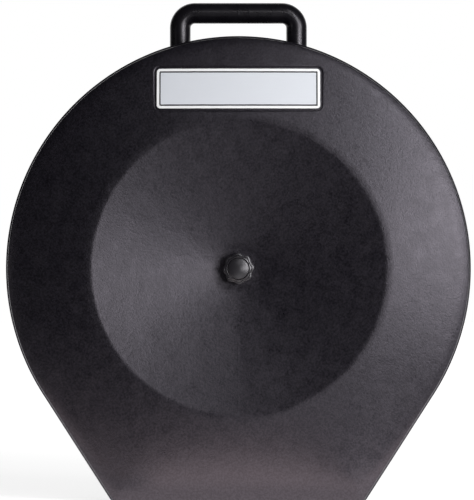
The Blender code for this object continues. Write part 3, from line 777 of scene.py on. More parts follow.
@dataclass(frozen=True)
class MouldedPlastic:
    """Black moulded polyethylene: pebble grain, soft waves, rubbed ridges, specks and scuffs."""

    name: str = "moulded_polyethylene"
    colour: Colour = (0.0028, 0.0025, 0.0040)
    pale_colour: Colour = (0.0070, 0.0062, 0.0096)
    rubbed_colour: Colour = (0.018, 0.016, 0.020)
    sheen_tint: Colour = (0.95, 0.88, 1.0)
    roughness: float = 0.38
    grain_size: float = 0.0018
    grain_height: float = 0.00010
    fine_size: float = 0.0034
    fine_height: float = 0.00010
    wave_size: float = 0.050
    wave_height: float = 0.00060
    blotch_size: float = 0.017
    blotch_height: float = 0.00030
    speckle_size: float = 0.0026
    speck_size: float = 0.0022
    scratch_size: float = 0.004
    scuff_size: float = 0.055
    patch_size: float = 0.006
    rib_reach: float = 0.0018
    rib_height: float = 0.00005
    rib_fade: float = 0.010
    rib_start: tuple[float, float] = (0.06, 0.10)
    rib_top_fade: float = 0.04
    ridge_wear: float = 0.007
    rim_wear: float = 0.009
    ridge_rub: float = 0.35
    rim_rub: float = 0.5
    scuff_rub: float = 0.5
    speck_rub: float = 0.25
    blotch_dulling: float = 0.34
    speckle_dulling: float = 0.20
    scuff_dulling: float = 0.12
    ridge_polish: float = 0.03
    speckle_coat: float = 0.24
    blotch_coat: float = 0.30

    def material(self) -> bpy.types.Material:
        """Builds the node graph and returns the material."""
        graph = FinishGraph(self.name)
        radius = graph.radius()
        waves = graph.noise(self.wave_size, detail=3.0, roughness=0.55)
        blotches = graph.noise(self.blotch_size, detail=4.0, roughness=0.65)
        grain = graph.cells(self.grain_size, 0.6)
        fine = graph.noise(self.fine_size, detail=3.0, roughness=0.6)
        speckle = graph.noise(self.speckle_size, detail=2.0, roughness=0.6)
        specks = graph.noise(self.speck_size, detail=1.0).rise(0.70, 0.78)
        scratches = graph.noise(self.scratch_size, detail=3.0, stretch=(0.10, 0.4, 1.0), distortion=0.4)
        scuffs = scratches.rise(0.66, 0.74) * graph.noise(self.scuff_size).rise(0.56, 0.68)
        patches = graph.noise(self.patch_size, detail=4.0, roughness=0.7).rise(0.45, 0.75)
        ridge = radius.bump_at(FORM.ridge_radius, self.ridge_wear)
        rim = graph.axes["y"].bump_at(FORM.parting_y, self.rim_wear)
        rubbed = (ridge * self.ridge_rub + rim * self.rim_rub) * patches
        rubbed = (rubbed + scuffs * self.scuff_rub + specks * self.speck_rub).at_most(1)
        height = waves * self.wave_height + blotches * self.blotch_height
        height = height - grain * self.grain_height + fine * self.fine_height
        graph.relief(height + self.rib(graph, radius))
        skin = graph.blend(self.colour, self.pale_colour, speckle.rise(0.30, 0.70))
        dulled = (blotches - 0.5) * self.blotch_dulling + (speckle - 0.5) * self.speckle_dulling
        dulled = dulled + scuffs * self.scuff_dulling - ridge * self.ridge_polish
        coat = speckle.rise(0.36, 0.64) * self.speckle_coat
        graph.set(
            Base_Color=graph.blend(skin, self.rubbed_colour, rubbed),
            Roughness=self.roughness + dulled,
            IOR=PLASTIC_IOR,
            Specular_Tint=self.sheen_tint,
            Coat_Weight=coat + (blotches - 0.3).at_least(0) * self.blotch_coat,
            Coat_Roughness=self.roughness,
            Coat_Tint=self.sheen_tint,
        )
        return graph.material

    def rib(self, graph: FinishGraph, radius: Signal) -> Signal:
        """Adds the hair-thin moulding rib along the crease below the knob.

        Args:
            graph: The material's graph.
            radius: The distance from the case axis.

        Returns:
            The rib's height in metres.
        """
        within = radius.rise(FORM.ridge_radius, FORM.ridge_radius - self.rib_fade)
        within = within * radius.rise(*self.rib_start)
        below = graph.axes["z"].rise(FORM.radius, FORM.radius - self.rib_top_fade)
        outside = graph.axes["y"].rise(FORM.boss_y + FORM.wall, FORM.boss_y)
        return graph.axes["x"].bump_at(0, self.rib_reach) * self.rib_height * within * below * outside


@dataclass(frozen=True)
class SatinPlastic:
    """Smooth black moulded plastic with a satin skin and light handling marks."""

    name: str
    colour: Colour
    roughness: float
    seam_height: float = 0.0
    sheen_tint: Colour = (0.97, 0.93, 1.0)
    coat: float = 0.0
    skin_size: float = 0.0009
    skin_height: float = 0.000010
    smudge_size: float = 0.012
    smudge_height: float = 0.00006
    mark_size: float = 0.0035
    seam_reach: float = 0.0014

    def material(self) -> bpy.types.Material:
        """Builds the node graph and returns the material."""
        graph = FinishGraph(self.name)
        skin = graph.noise(self.skin_size, detail=3.0)
        smudges = graph.noise(self.smudge_size, detail=3.0, roughness=0.6)
        marks = graph.noise(self.mark_size, stretch=(0.25, 1.0, 1.0)).rise(0.70, 0.78)
        height = skin * self.skin_height + smudges * self.smudge_height
        if self.seam_height:
            height = height + graph.axes["x"].bump_at(0, self.seam_reach) * self.seam_height
        graph.relief(height)
        worn = tuple(channel * 2.2 + 0.004 for channel in self.colour)
        graph.set(
            Base_Color=graph.blend(self.colour, worn, marks * 0.6 + smudges.rise(0.45, 0.8) * 0.3),
            Roughness=self.roughness + (smudges - 0.5) * 0.14 + marks * 0.10,
            IOR=PLASTIC_IOR,
            Specular_Tint=self.sheen_tint,
            Coat_Weight=self.coat,
            Coat_Roughness=self.roughness,
        )
        return graph.material


@dataclass(frozen=True)
class PlateFinish:
    """A pale silver plate with a white raised border and one dark frame line, otherwise blank."""

    name: str = "silver_name_plate"
    field_colour: Colour = (0.735, 0.755, 0.81)
    border_colour: Colour = (0.96, 0.96, 0.97)
    line_colour: Colour = (0.012, 0.012, 0.016)
    dust_colour: Colour = (0.45, 0.46, 0.50)
    line_edge: float = 0.0001
    roughness: float = 0.34
    cloud_size: float = 0.030
    cloud_height: float = 0.00004
    brush_size: float = 0.0012
    brush_height: float = 0.000004
    dust_size: float = 0.0012

    def material(self, plate: "NamePlate") -> bpy.types.Material:
        """Builds the node graph.

        Args:
            plate: The plate, which gives the lines their places.

        Returns:
            The material.
        """
        graph = FinishGraph(self.name)
        across = abs(graph.axes["x"]) - (plate.width / 2 - plate.corner)
        up = abs(graph.axes["z"] - (FORM.radius + plate.centre_z)) - (plate.height / 2 - plate.corner)
        beyond_x = across.at_least(0)
        beyond_z = up.at_least(0)
        outside = (beyond_x * beyond_x + beyond_z * beyond_z).root()
        depth = plate.corner - outside - across.at_least(up).at_most(0)
        line_end = plate.border + plate.line
        in_line = depth.rise(plate.border - self.line_edge, plate.border + self.line_edge)
        in_field = depth.rise(line_end - self.line_edge, line_end + self.line_edge)
        cloud = graph.noise(self.cloud_size, detail=3.0)
        brush = graph.noise(self.brush_size, stretch=(0.05, 1.0, 1.0))
        dust = graph.noise(self.dust_size, detail=1.0).rise(0.74, 0.80)
        dull = tuple(channel * 0.94 for channel in self.field_colour)
        base = graph.blend(self.border_colour, self.line_colour, in_line)
        base = graph.blend(base, graph.blend(self.field_colour, dull, cloud * 0.6 + brush * 0.4), in_field)
        graph.relief(brush * self.brush_height + cloud * self.cloud_height)
        graph.set(
            Base_Color=graph.blend(base, self.dust_colour, dust * 0.25),
            Roughness=self.roughness + brush * 0.10,
            IOR=PLASTIC_IOR,
        )
        return graph.material


@dataclass(frozen=True)
class MetalFinish:
    """Bare or plated metal with turning marks and stains."""

    name: str
    colour: Colour
    stain: Colour
    roughness: float
    turning_pitch: float = 0.00045
    turning_height: float = 0.0000022
    stain_size: float = 0.006
    stain_height: float = 0.00003
    scratch_size: float = 0.0015
    scratch_height: float = 0.000006

    def material(self) -> bpy.types.Material:
        """Builds the node graph and returns the material."""
        graph = FinishGraph(self.name)
        stains = graph.noise(self.stain_size, detail=4.0, roughness=0.65)
        turning = (graph.radius() * (2 * math.pi / self.turning_pitch)).sine()
        scratches = graph.noise(self.scratch_size, stretch=(1.0, 0.2, 1.0)).rise(0.62, 0.72)
        height = turning * self.turning_height + stains * self.stain_height
        graph.relief(height - scratches * self.scratch_height)
        graph.set(
            Base_Color=graph.blend(self.colour, self.stain, stains.rise(0.42, 0.78)),
            Roughness=self.roughness + stains * 0.14 + scratches * 0.10,
            Metallic=1.0,
        )
        return graph.material


@dataclass(frozen=True)
class FoamFinish:
    """Dark closed-cell foam with open pores on its cut faces, which are darkened with painted shade."""

    name: str = "closed_cell_foam"
    colour: Colour = (0.055, 0.055, 0.060)
    pore_shade_colour: Colour = (0.012, 0.012, 0.013)
    pore_size: float = 0.0011
    pore_height: float = 0.00022
    lump_size: float = 0.006
    lump_height: float = 0.0004
    roughness: float = 0.92

    def material(self) -> bpy.types.Material:
        """Builds the node graph and returns the material."""
        graph = FinishGraph(self.name)
        pores = graph.cells(self.pore_size, 0.2).rise(0.42, 0.10)
        lumps = graph.noise(self.lump_size, detail=3.0)
        graph.relief(lumps * self.lump_height - pores * self.pore_height)
        shade = graph.blend(self.colour, tuple(1.5 * channel for channel in self.colour), lumps)
        graph.set(
            # Painted shade: the pores, which the bump also sinks, are darkened towards a near-black colour.
            Base_Color=graph.blend(shade, self.pore_shade_colour, pores * 0.8),
            Roughness=self.roughness - pores * 0.1,
        )
        return graph.material


@dataclass(frozen=True)
class TapeFinish:
    """Double-sided foam tape, pale and slightly uneven."""

    name: str = "foam_tape"
    colour: Colour = (0.70, 0.70, 0.67)
    pore_size: float = 0.0007
    pore_height: float = 0.00005
    weave_size: float = 0.004
    roughness: float = 0.75

    def material(self) -> bpy.types.Material:
        """Builds the node graph and returns the material."""
        graph = FinishGraph(self.name)
        pores = graph.noise(self.pore_size)
        weave = graph.noise(self.weave_size, detail=3.0)
        graph.relief(pores * self.pore_height)
        dirty = tuple(0.7 * channel for channel in self.colour)
        graph.set(
            Base_Color=graph.blend(self.colour, dirty, weave.rise(0.4, 0.8)),
            Roughness=self.roughness + pores * 0.15,
        )
        return graph.material


# Mesh tools


def rounded(bm: BMesh, geom: Sequence[Any], width: float, segments: int, affect: str = "EDGES") -> None:
    """Rounds edges or corners.

    Args:
        bm: The mesh.
        geom: The edges or corners.
        width: The width of the rounding.
        segments: How many faces it has across.
        affect: EDGES or VERTICES.
    """
    bmesh.ops.bevel(
        bm,
        geom=geom,
        offset=width,
        offset_type="OFFSET",
        segments=segments,
        profile=0.5,
        affect=affect,
        material=-1,
        clamp_overlap=True,
    )


def round_sharp(bm: BMesh, width: float, segments: int = 3, angle: float = 40.0) -> None:
    """Rounds every sharp edge.

    Args:
        bm: The mesh.
        width: The width of the rounding.
        segments: How many faces it has across.
        angle: The least turn, in degrees, that counts as sharp.
    """
    limit = math.radians(angle)
    edges = [e for e in bm.edges if len(e.link_faces) == 2 and e.calc_face_angle(0) > limit]
    rounded(bm, edges, width, segments)


def picked(made: Sequence[Any], kind: type) -> list[Any]:
    """Picks the corners, the edges or the faces out of what an operator made."""
    return [item for item in made if isinstance(item, kind)]


def outward(bm: BMesh) -> BMesh:
    """Merges doubles, points the faces out and returns the mesh."""
    bmesh.ops.remove_doubles(bm, verts=bm.verts, dist=SAME_PLACE)
    bmesh.ops.recalc_face_normals(bm, faces=bm.faces)
    return bm


def turned(profile: Points, segments: int = 72, edge: float = 0.0, axis: Triple = (0, 1, 0)) -> BMesh:
    """Turns a profile on an axis.

    Args:
        profile: (radius, place along the axis) points. One that starts on the axis also ends there.
        segments: How many steps the turn has.
        edge: The width of its rounded edges, or 0 for sharp ones.
        axis: Y, which is the case axis, or Z.

    Returns:
        A closed bmesh with its faces pointing out.
    """
    bm = bmesh.new()
    verts = [bm.verts.new((radius, along * axis[1], along * axis[2])) for radius, along in profile]
    edges = [bm.edges.new(pair) for pair in zip(verts, verts[1:])]
    if profile[0][0] > 0:
        edges.append(bm.edges.new((verts[-1], verts[0])))
    bmesh.ops.spin(
        bm, geom=verts + edges, axis=axis, angle=2 * math.pi, steps=segments, use_merge=True
    )
    outward(bm)
    if edge:
        round_sharp(bm, edge)
    return bm


def washer(inner: float, outer: float, front_y: float, back_y: float, edge: float) -> BMesh:
    """Turns a flat ring with soft edges.

    Args:
        inner: Its bore's radius.
        outer: Its outer radius.
        front_y: The depth of its front.
        back_y: The depth of its back.
        edge: The width of its rounded edges.

    Returns:
        The ring.
    """
    return turned([(inner, front_y), (outer, front_y), (outer, back_y), (inner, back_y)], edge=edge)


def flanged(radii: Triple, depths: Triple, edge: float) -> BMesh:
    """Turns a tube with a flange at its front.

    Args:
        radii: Those of its bore, its barrel and its flange.
        depths: Those of the flange's front, the flange's back and the barrel's far end.
        edge: The width of its rounded edges.

    Returns:
        The tube.
    """
    bore, barrel, flange = radii
    face_y, shoulder_y, tail_y = depths
    profile = [(bore, face_y), (flange, face_y), (flange, shoulder_y), (barrel, shoulder_y)]
    return turned(profile + [(barrel, tail_y), (bore, tail_y)], edge=edge)


def prism(radius: float, length: float, sides: int, place: Matrix) -> BMesh:
    """Builds a straight prism.

    Args:
        radius: The distance of its long edges from its axis.
        length: How long it is.
        sides: How many sides it has.
        place: Its turn and the place of its middle. It lies along Z before that.

    Returns:
        The closed prism.
    """
    bm = bmesh.new()
    bmesh.ops.create_cone(
        bm, cap_ends=True, segments=sides, radius1=radius, radius2=radius, depth=length, matrix=place
    )
    return bm


def sheet(place: Matrix, cells: tuple[int, int], corner: float) -> BMesh:
    """Draws a flat grid with rounded corners.

    Args:
        place: Its half sizes, its turn and its place.
        cells: How many cells it has along its two sides.
        corner: The radius of its corners.

    Returns:
        The open sheet.
    """
    bm = bmesh.new()
    bmesh.ops.create_grid(bm, x_segments=cells[0], y_segments=cells[1], size=1, matrix=place)
    corners = [vert for vert in bm.verts if len(vert.link_edges) == 2]
    rounded(bm, corners, corner, CORNER_SEGMENTS, affect="VERTICES")
    return bm


def thickened(bm: BMesh, way: Triple) -> list[BMFace]:
    """Extrudes every face of a sheet.

    Args:
        bm: The sheet.
        way: How far it is drawn out along x, y and z.

    Returns:
        The faces of the side that is drawn out.
    """
    made = bmesh.ops.extrude_face_region(bm, geom=bm.faces[:])["geom"]
    bmesh.ops.translate(bm, verts=picked(made, BMVert), vec=way)
    return picked(made, BMFace)


def combined(first: BMesh, others: Sequence[BMesh], join: Join = Join.CUT) -> BMesh:
    """Cuts or intersects a mesh with others.

    Args:
        first: The mesh that is worked on, which is freed.
        others: The shapes that work on it, which are freed.
        join: What they do to it.

    Returns:
        The resulting mesh.
    """
    objects = []
    for index, bm in enumerate([first, *others]):
        mesh = bpy.data.meshes.new(f"working_{index}")
        bm.to_mesh(mesh)
        bm.free()
        obj = bpy.data.objects.new(f"working_{index}", mesh)
        bpy.context.scene.collection.objects.link(obj)
        objects.append(obj)
    for tool in objects[1:]:
        modifier = objects[0].modifiers.new(tool.name, "BOOLEAN")
        modifier.operation = join.value
        modifier.solver = "EXACT"
        modifier.object = tool
    graph = bpy.context.evaluated_depsgraph_get()
    result = bmesh.new()
    result.from_object(objects[0], graph)
    for obj in objects:
        mesh = obj.data
        bpy.data.objects.remove(obj)
        bpy.data.meshes.remove(mesh)
    return result


class Skin:
    """A ring of edges that is drawn through the depth of the case, one station after another."""

    def __init__(self, points: Points, y: float) -> None:
        """Starts the skin with its first ring."""
        self.bm = bmesh.new()
        self.order = self.bm.verts.layers.int.new("order")
        ring = bmesh.ops.create_circle(self.bm, segments=len(points), radius=1)["verts"]
        for index, vert in enumerate(ring):
            vert[self.order] = index
        self.first: Station = (points, y)
        self.edges = list({edge for vert in ring for edge in vert.link_edges})
        self.rings = [self.edges]
        self._place(ring, points, y)

    def _place(self, verts: Sequence[BMVert], points: Points, y: float) -> None:
        """Moves a ring's corners to its points at one depth."""
        for vert in verts:
            x, z = points[vert[self.order]]
            vert.co = (x, y, z)

    def to(self, points: Points, y: float) -> int:
        """Draws the skin on to the next station.

        Args:
            points: The station's (x, z) points.
            y: Its depth.

        Returns:
            The station's number, for soften.
        """
        made = bmesh.ops.extrude_edge_only(self.bm, edges=self.edges)["geom"]
        self._place(picked(made, BMVert), points, y)
        self.edges = [edge for edge in picked(made, BMEdge) if edge.is_boundary]
        self.rings.append(self.edges)
        return len(self.rings) - 1

    def through(self, stations: Sequence[Station]) -> None:
        """Draws the skin through several stations."""
        for points, y in stations:
            self.to(points, y)

    def close(self) -> None:
        """Draws the skin back to its first station and merges the two."""
        self.to(*self.first)
        outward(self.bm)

    def cap(self) -> None:
        """Closes both ends with a flat face each."""
        for ring in (self.rings[0], self.edges):
            bmesh.ops.contextual_create(self.bm, geom=ring)
        outward(self.bm)

    def soften(self, rings: Sequence[int], width: float, segments: int = 3) -> None:
        """Rounds the edges at some stations, but not the first.

        Args:
            rings: The stations' numbers.
            width: The width of the rounding.
            segments: How many faces it has across.
        """
        rounded(self.bm, [edge for ring in rings for edge in self.rings[ring]], width, segments)


@dataclass(frozen=True)
class Piece:
    """How a finished mesh joins the model."""

    node: str
    body: Body
    slot: Slot
    material: bpy.types.Material
    sharp: float = 32.0
    even: bool = False

    def add(self, bm: BMesh) -> bpy.types.Object:
        """Makes the object, dresses it and seats it on its body.

        Args:
            bm: The finished mesh about the case axis, which is freed.

        Returns:
            The object, at the origin with its place in its mesh.
        """
        bmesh.ops.transform(bm, matrix=TO_CASE_AXIS, verts=bm.verts)
        mesh = bpy.data.meshes.new(f"{self.node}_detail")
        bm.to_mesh(mesh)
        bm.free()
        mesh.shade_smooth()
        mesh.set_sharp_from_angle(angle=math.radians(self.sharp))
        mesh.materials.append(self.material)
        obj = bpy.data.objects.new(f"{self.node}_detail", mesh)
        bpy.context.scene.collection.objects.link(obj)
        if self.even:
            normals = obj.modifiers.new("even_normals", "WEIGHTED_NORMAL")
            normals.keep_sharp = True
        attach(obj, self.body.value)
        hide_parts(self.node)
        LOG.info("%s rides on %s with %d faces", obj.name, self.body.value, len(mesh.polygons))
        return obj


class Finishes:
    """Every plain material of the case, made once."""

    def __init__(self) -> None:
        """Makes the materials."""
        self.shell = MouldedPlastic().material()
        self.handle = SatinPlastic("handle_plastic", (0.0046, 0.0041, 0.0057), 0.28, 0.0001).material()
        self.knob = SatinPlastic("knob_plastic", (0.010, 0.009, 0.0115), 0.33, coat=0.55).material()
        self.nylon = SatinPlastic("black_nylon", (0.030, 0.030, 0.033), 0.45).material()
        steel = MetalFinish("zinc_plated_steel", (0.62, 0.62, 0.60), (0.50, 0.50, 0.47), 0.26)
        self.steel = steel.material()
        self.brass = MetalFinish("turned_brass", (0.75, 0.56, 0.25), (0.52, 0.36, 0.15), 0.24).material()
        self.foam = FoamFinish().material()
        self.tape = TapeFinish().material()


# The case


@dataclass
class NamePlate:
    """The plate on the ring, the tape behind it and the seat moulded for them."""

    width: float = 0.2095
    ridge_gap: float = 0.0142
    rim_gap: float = 0.0436
    thickness: float = 0.0014
    proud: float = 0.0003
    corner: float = 0.0045
    margin: float = 0.0026
    mouth_curve: float = 0.008
    mouth_round: float = 0.0012
    overrun: float = 0.003
    tape_thickness: float = 0.0005
    tape_margin: float = 0.004
    border: float = 0.0033
    line: float = 0.0018
    border_rise: float = 0.00025
    border_slope: float = 0.0003
    line_sink: float = 0.4
    cells: tuple[int, int] = (16, 4)
    mouth_start: float = math.radians(6)
    mouth_break: float = math.radians(22)
    mouth_steps: int = 5

    @property
    def height(self) -> float:
        """The plate's height, between its gaps to the ridge and the rim."""
        return FORM.ring_width - self.ridge_gap - self.rim_gap

    @property
    def centre_z(self) -> float:
        """The height of the plate's middle above the case axis."""
        return FORM.ridge_radius + self.ridge_gap + self.height / 2

    @property
    def seat_depth(self) -> float:
        """How far the seat's floor lies under the ring's surface."""
        return self.tape_thickness + self.thickness + 2 * FORM.gap - self.proud

    def _sheet(self, grown: float, corner: float) -> BMesh:
        """Draws a flat rounded grid at the plate's place, to be wrapped on the ring.

        Args:
            grown: How far it reaches past the plate on every side.
            corner: The radius of its corners.

        Returns:
            The open sheet.
        """
        upright = Matrix.Rotation(math.pi / 2, 4, "X")
        sized = Matrix.Diagonal((self.width / 2 + grown, 1, self.height / 2 + grown, 1))
        return sheet(Matrix.Translation((0, 0, self.centre_z)) @ sized @ upright, self.cells, corner)

    @staticmethod
    def _step(bm: BMesh, faces: list[BMFace], width: float, shift: float) -> None:
        """Insets a region and moves it along the depth.

        Args:
            bm: The mesh.
            faces: The region, which stays the inner one.
            width: How far its edge moves in.
            shift: How far it then moves back.
        """
        if width:
            bmesh.ops.inset_region(bm, faces=faces, thickness=width, use_even_offset=True)
        verts = list({vert for face in faces for vert in face.verts})
        bmesh.ops.translate(bm, verts=verts, vec=(0, shift, 0))

    @staticmethod
    def _wrapped(bm: BMesh, back: float) -> BMesh:
        """Lays a flat shape on the ring.

        Args:
            bm: The shape, drawn flat about depth 0.
            back: How far that depth lies under the ring's surface.

        Returns:
            The same mesh.
        """
        for vert in bm.verts:
            vert.co.y += back + FORM.lid_face_y(math.hypot(vert.co.x, vert.co.z))
        return outward(bm)

    def plate_mesh(self) -> BMesh:
        """Builds the plate with its raised border and its sunk frame line."""
        rise = self.border_rise
        slope = self.border_slope
        bm = self._sheet(0, self.corner)
        front = thickened(bm, (0, rise - self.thickness, 0))
        self._step(bm, front, slope, -rise)
        self._step(bm, front, self.border - 2 * slope, 0)
        self._step(bm, front, slope, (1 + self.line_sink) * rise)
        self._step(bm, front, self.line - slope, 0)
        self._step(bm, front, slope / 2, -self.line_sink * rise)
        return self._wrapped(bm, self.thickness - self.proud)

    def tape_mesh(self) -> BMesh:
        """Builds the strip of tape behind the plate."""
        bm = self._sheet(-self.tape_margin, self.corner)
        thickened(bm, (0, -self.tape_thickness, 0))
        return self._wrapped(bm, self.seat_depth - FORM.gap)

    def seat_cutter(self) -> BMesh:
        """Builds the shape that the seat leaves in the lid, with a softly rounded mouth."""
        shallow = steps(self.mouth_start, self.mouth_break, self.mouth_steps)
        steep = steps(self.mouth_break, math.pi / 2, self.mouth_steps)
        curves = [(self.mouth_curve, a, b) for a, b in zip(shallow, shallow[1:])]
        curves += [(self.mouth_round, a, b) for a, b in zip(steep, steep[1:])]
        widths = [curve * (math.sin(b) - math.sin(a)) for curve, a, b in curves]
        shifts = [curve * (math.cos(a) - math.cos(b)) for curve, a, b in curves]
        grown = self.margin + sum(widths)
        bm = self._sheet(grown, self.corner + grown)
        back = bm.faces[:]
        thickened(bm, (0, -self.overrun, 0))
        for width, shift in zip(widths, shifts):
            self._step(bm, back, width, shift)
        self._step(bm, back, 0, self.seat_depth - sum(shifts))
        return self._wrapped(bm, 0)

    def build(self, finishes: Finishes) -> None:
        """Adds the plate and its tape."""
        finish = PlateFinish().material(self)
        Piece("name_plate", Body.LID, Slot.PLATE, finish, even=True).add(self.plate_mesh())
        Piece("plate_tape", Body.LID, Slot.TAPE, finishes.tape).add(self.tape_mesh())


@dataclass
class FrontShell:
    """The lid: boss, dish, ridge, ring, edge fillet, skirt and bead."""

    bore: float = 0.0073
    small_edge: float = 0.0004
    bead_edge: float = 0.0006
    boss_edge: float = 0.005
    crease_reach: float = 0.045
    crease_depth: float = 0.0007
    crease_depth_low: float = 0.0003
    crease_fade: float = 0.012
    crease_start: tuple[float, float] = (0.035, 0.090)
    crease_rise: tuple[float, float] = (-0.19, -0.09)
    dish_steps: int = 6
    crest_steps: int = 5
    face_steps: int = 10
    fillet_steps: int = 8

    def mesh(self) -> BMesh:
        """Draws the lid's outer skin and then its inner one, and closes them into one wall."""
        form = FORM
        hole = form.round_points(self.bore)
        boss = form.round_points(form.boss_radius)
        rabbet = form.points(form.rabbet_inset, form.rabbet_inset)
        bead_y = form.parting_y - form.bead_width
        rabbet_y = form.parting_y - form.tongue - form.gap
        inner_y = form.boss_y + form.wall
        skin = Skin(boss, inner_y)
        small = [skin.to(hole, inner_y), skin.to(hole, form.boss_y)]
        boss_ring = skin.to(boss, form.boss_y)
        skin.through(form.dish(0, form.boss_y, self.dish_steps))
        skin.through(form.crest(0, self.crest_steps))
        skin.through(form.face(0, self.face_steps))
        skin.through(form.roll(self.fillet_steps))
        bead = [skin.to(form.points(form.bead_height, 0), bead_y - form.bead_bevel)]
        bead.append(skin.to(form.points(0, 0), bead_y))
        small.append(skin.to(form.points(0, 0), form.parting_y))
        small.append(skin.to(rabbet, form.parting_y))
        skin.to(rabbet, rabbet_y)
        skin.to(form.points(form.lid_inset + form.wall, form.rabbet_inset), rabbet_y - form.rim_runout / 2)
        skin.through(form.lid_edge(form.wall, self.fillet_steps // 2)[::-1])
        skin.through(form.face(form.wall, self.face_steps)[::-1])
        skin.through(form.crest(form.wall, self.crest_steps)[::-1])
        skin.through(form.dish(form.wall, inner_y, self.dish_steps)[::-1])
        skin.close()
        skin.soften(small, self.small_edge)
        skin.soften(bead, self.bead_edge)
        skin.soften([boss_ring], self.boss_edge, 5)
        for vert in skin.bm.verts:
            vert.co.y += self.crease(vert.co.x, vert.co.z)
        return skin.bm

    def crease(self, x: float, z: float) -> float:
        """Gives the depth of the faint moulding crease that runs down the dish below the knob.

        Args:
            x: Distance to the right of the case axis.
            z: Height above the case axis.

        Returns:
            How far the wall is sunk there.
        """
        radius = math.hypot(x, z)
        if z > 0 or abs(x) > self.crease_reach or radius > FORM.ridge_radius:
            return 0.0
        within = eased_share(radius, FORM.ridge_radius, FORM.ridge_radius - self.crease_fade)
        within *= eased_share(radius, *self.crease_start)
        high = eased_share(z, *self.crease_rise)
        depth = self.crease_depth_low + (self.crease_depth - self.crease_depth_low) * high
        return within * depth * (1 - abs(x) / self.crease_reach) ** 2

    def build(self, finishes: Finishes, plate: NamePlate) -> None:
        """Adds the lid with the plate's seat cut into it."""
        shell = combined(self.mesh(), [plate.seat_cutter()])
        Piece("front_shell", Body.LID, Slot.SHELL, finishes.shell, even=True).add(shell)


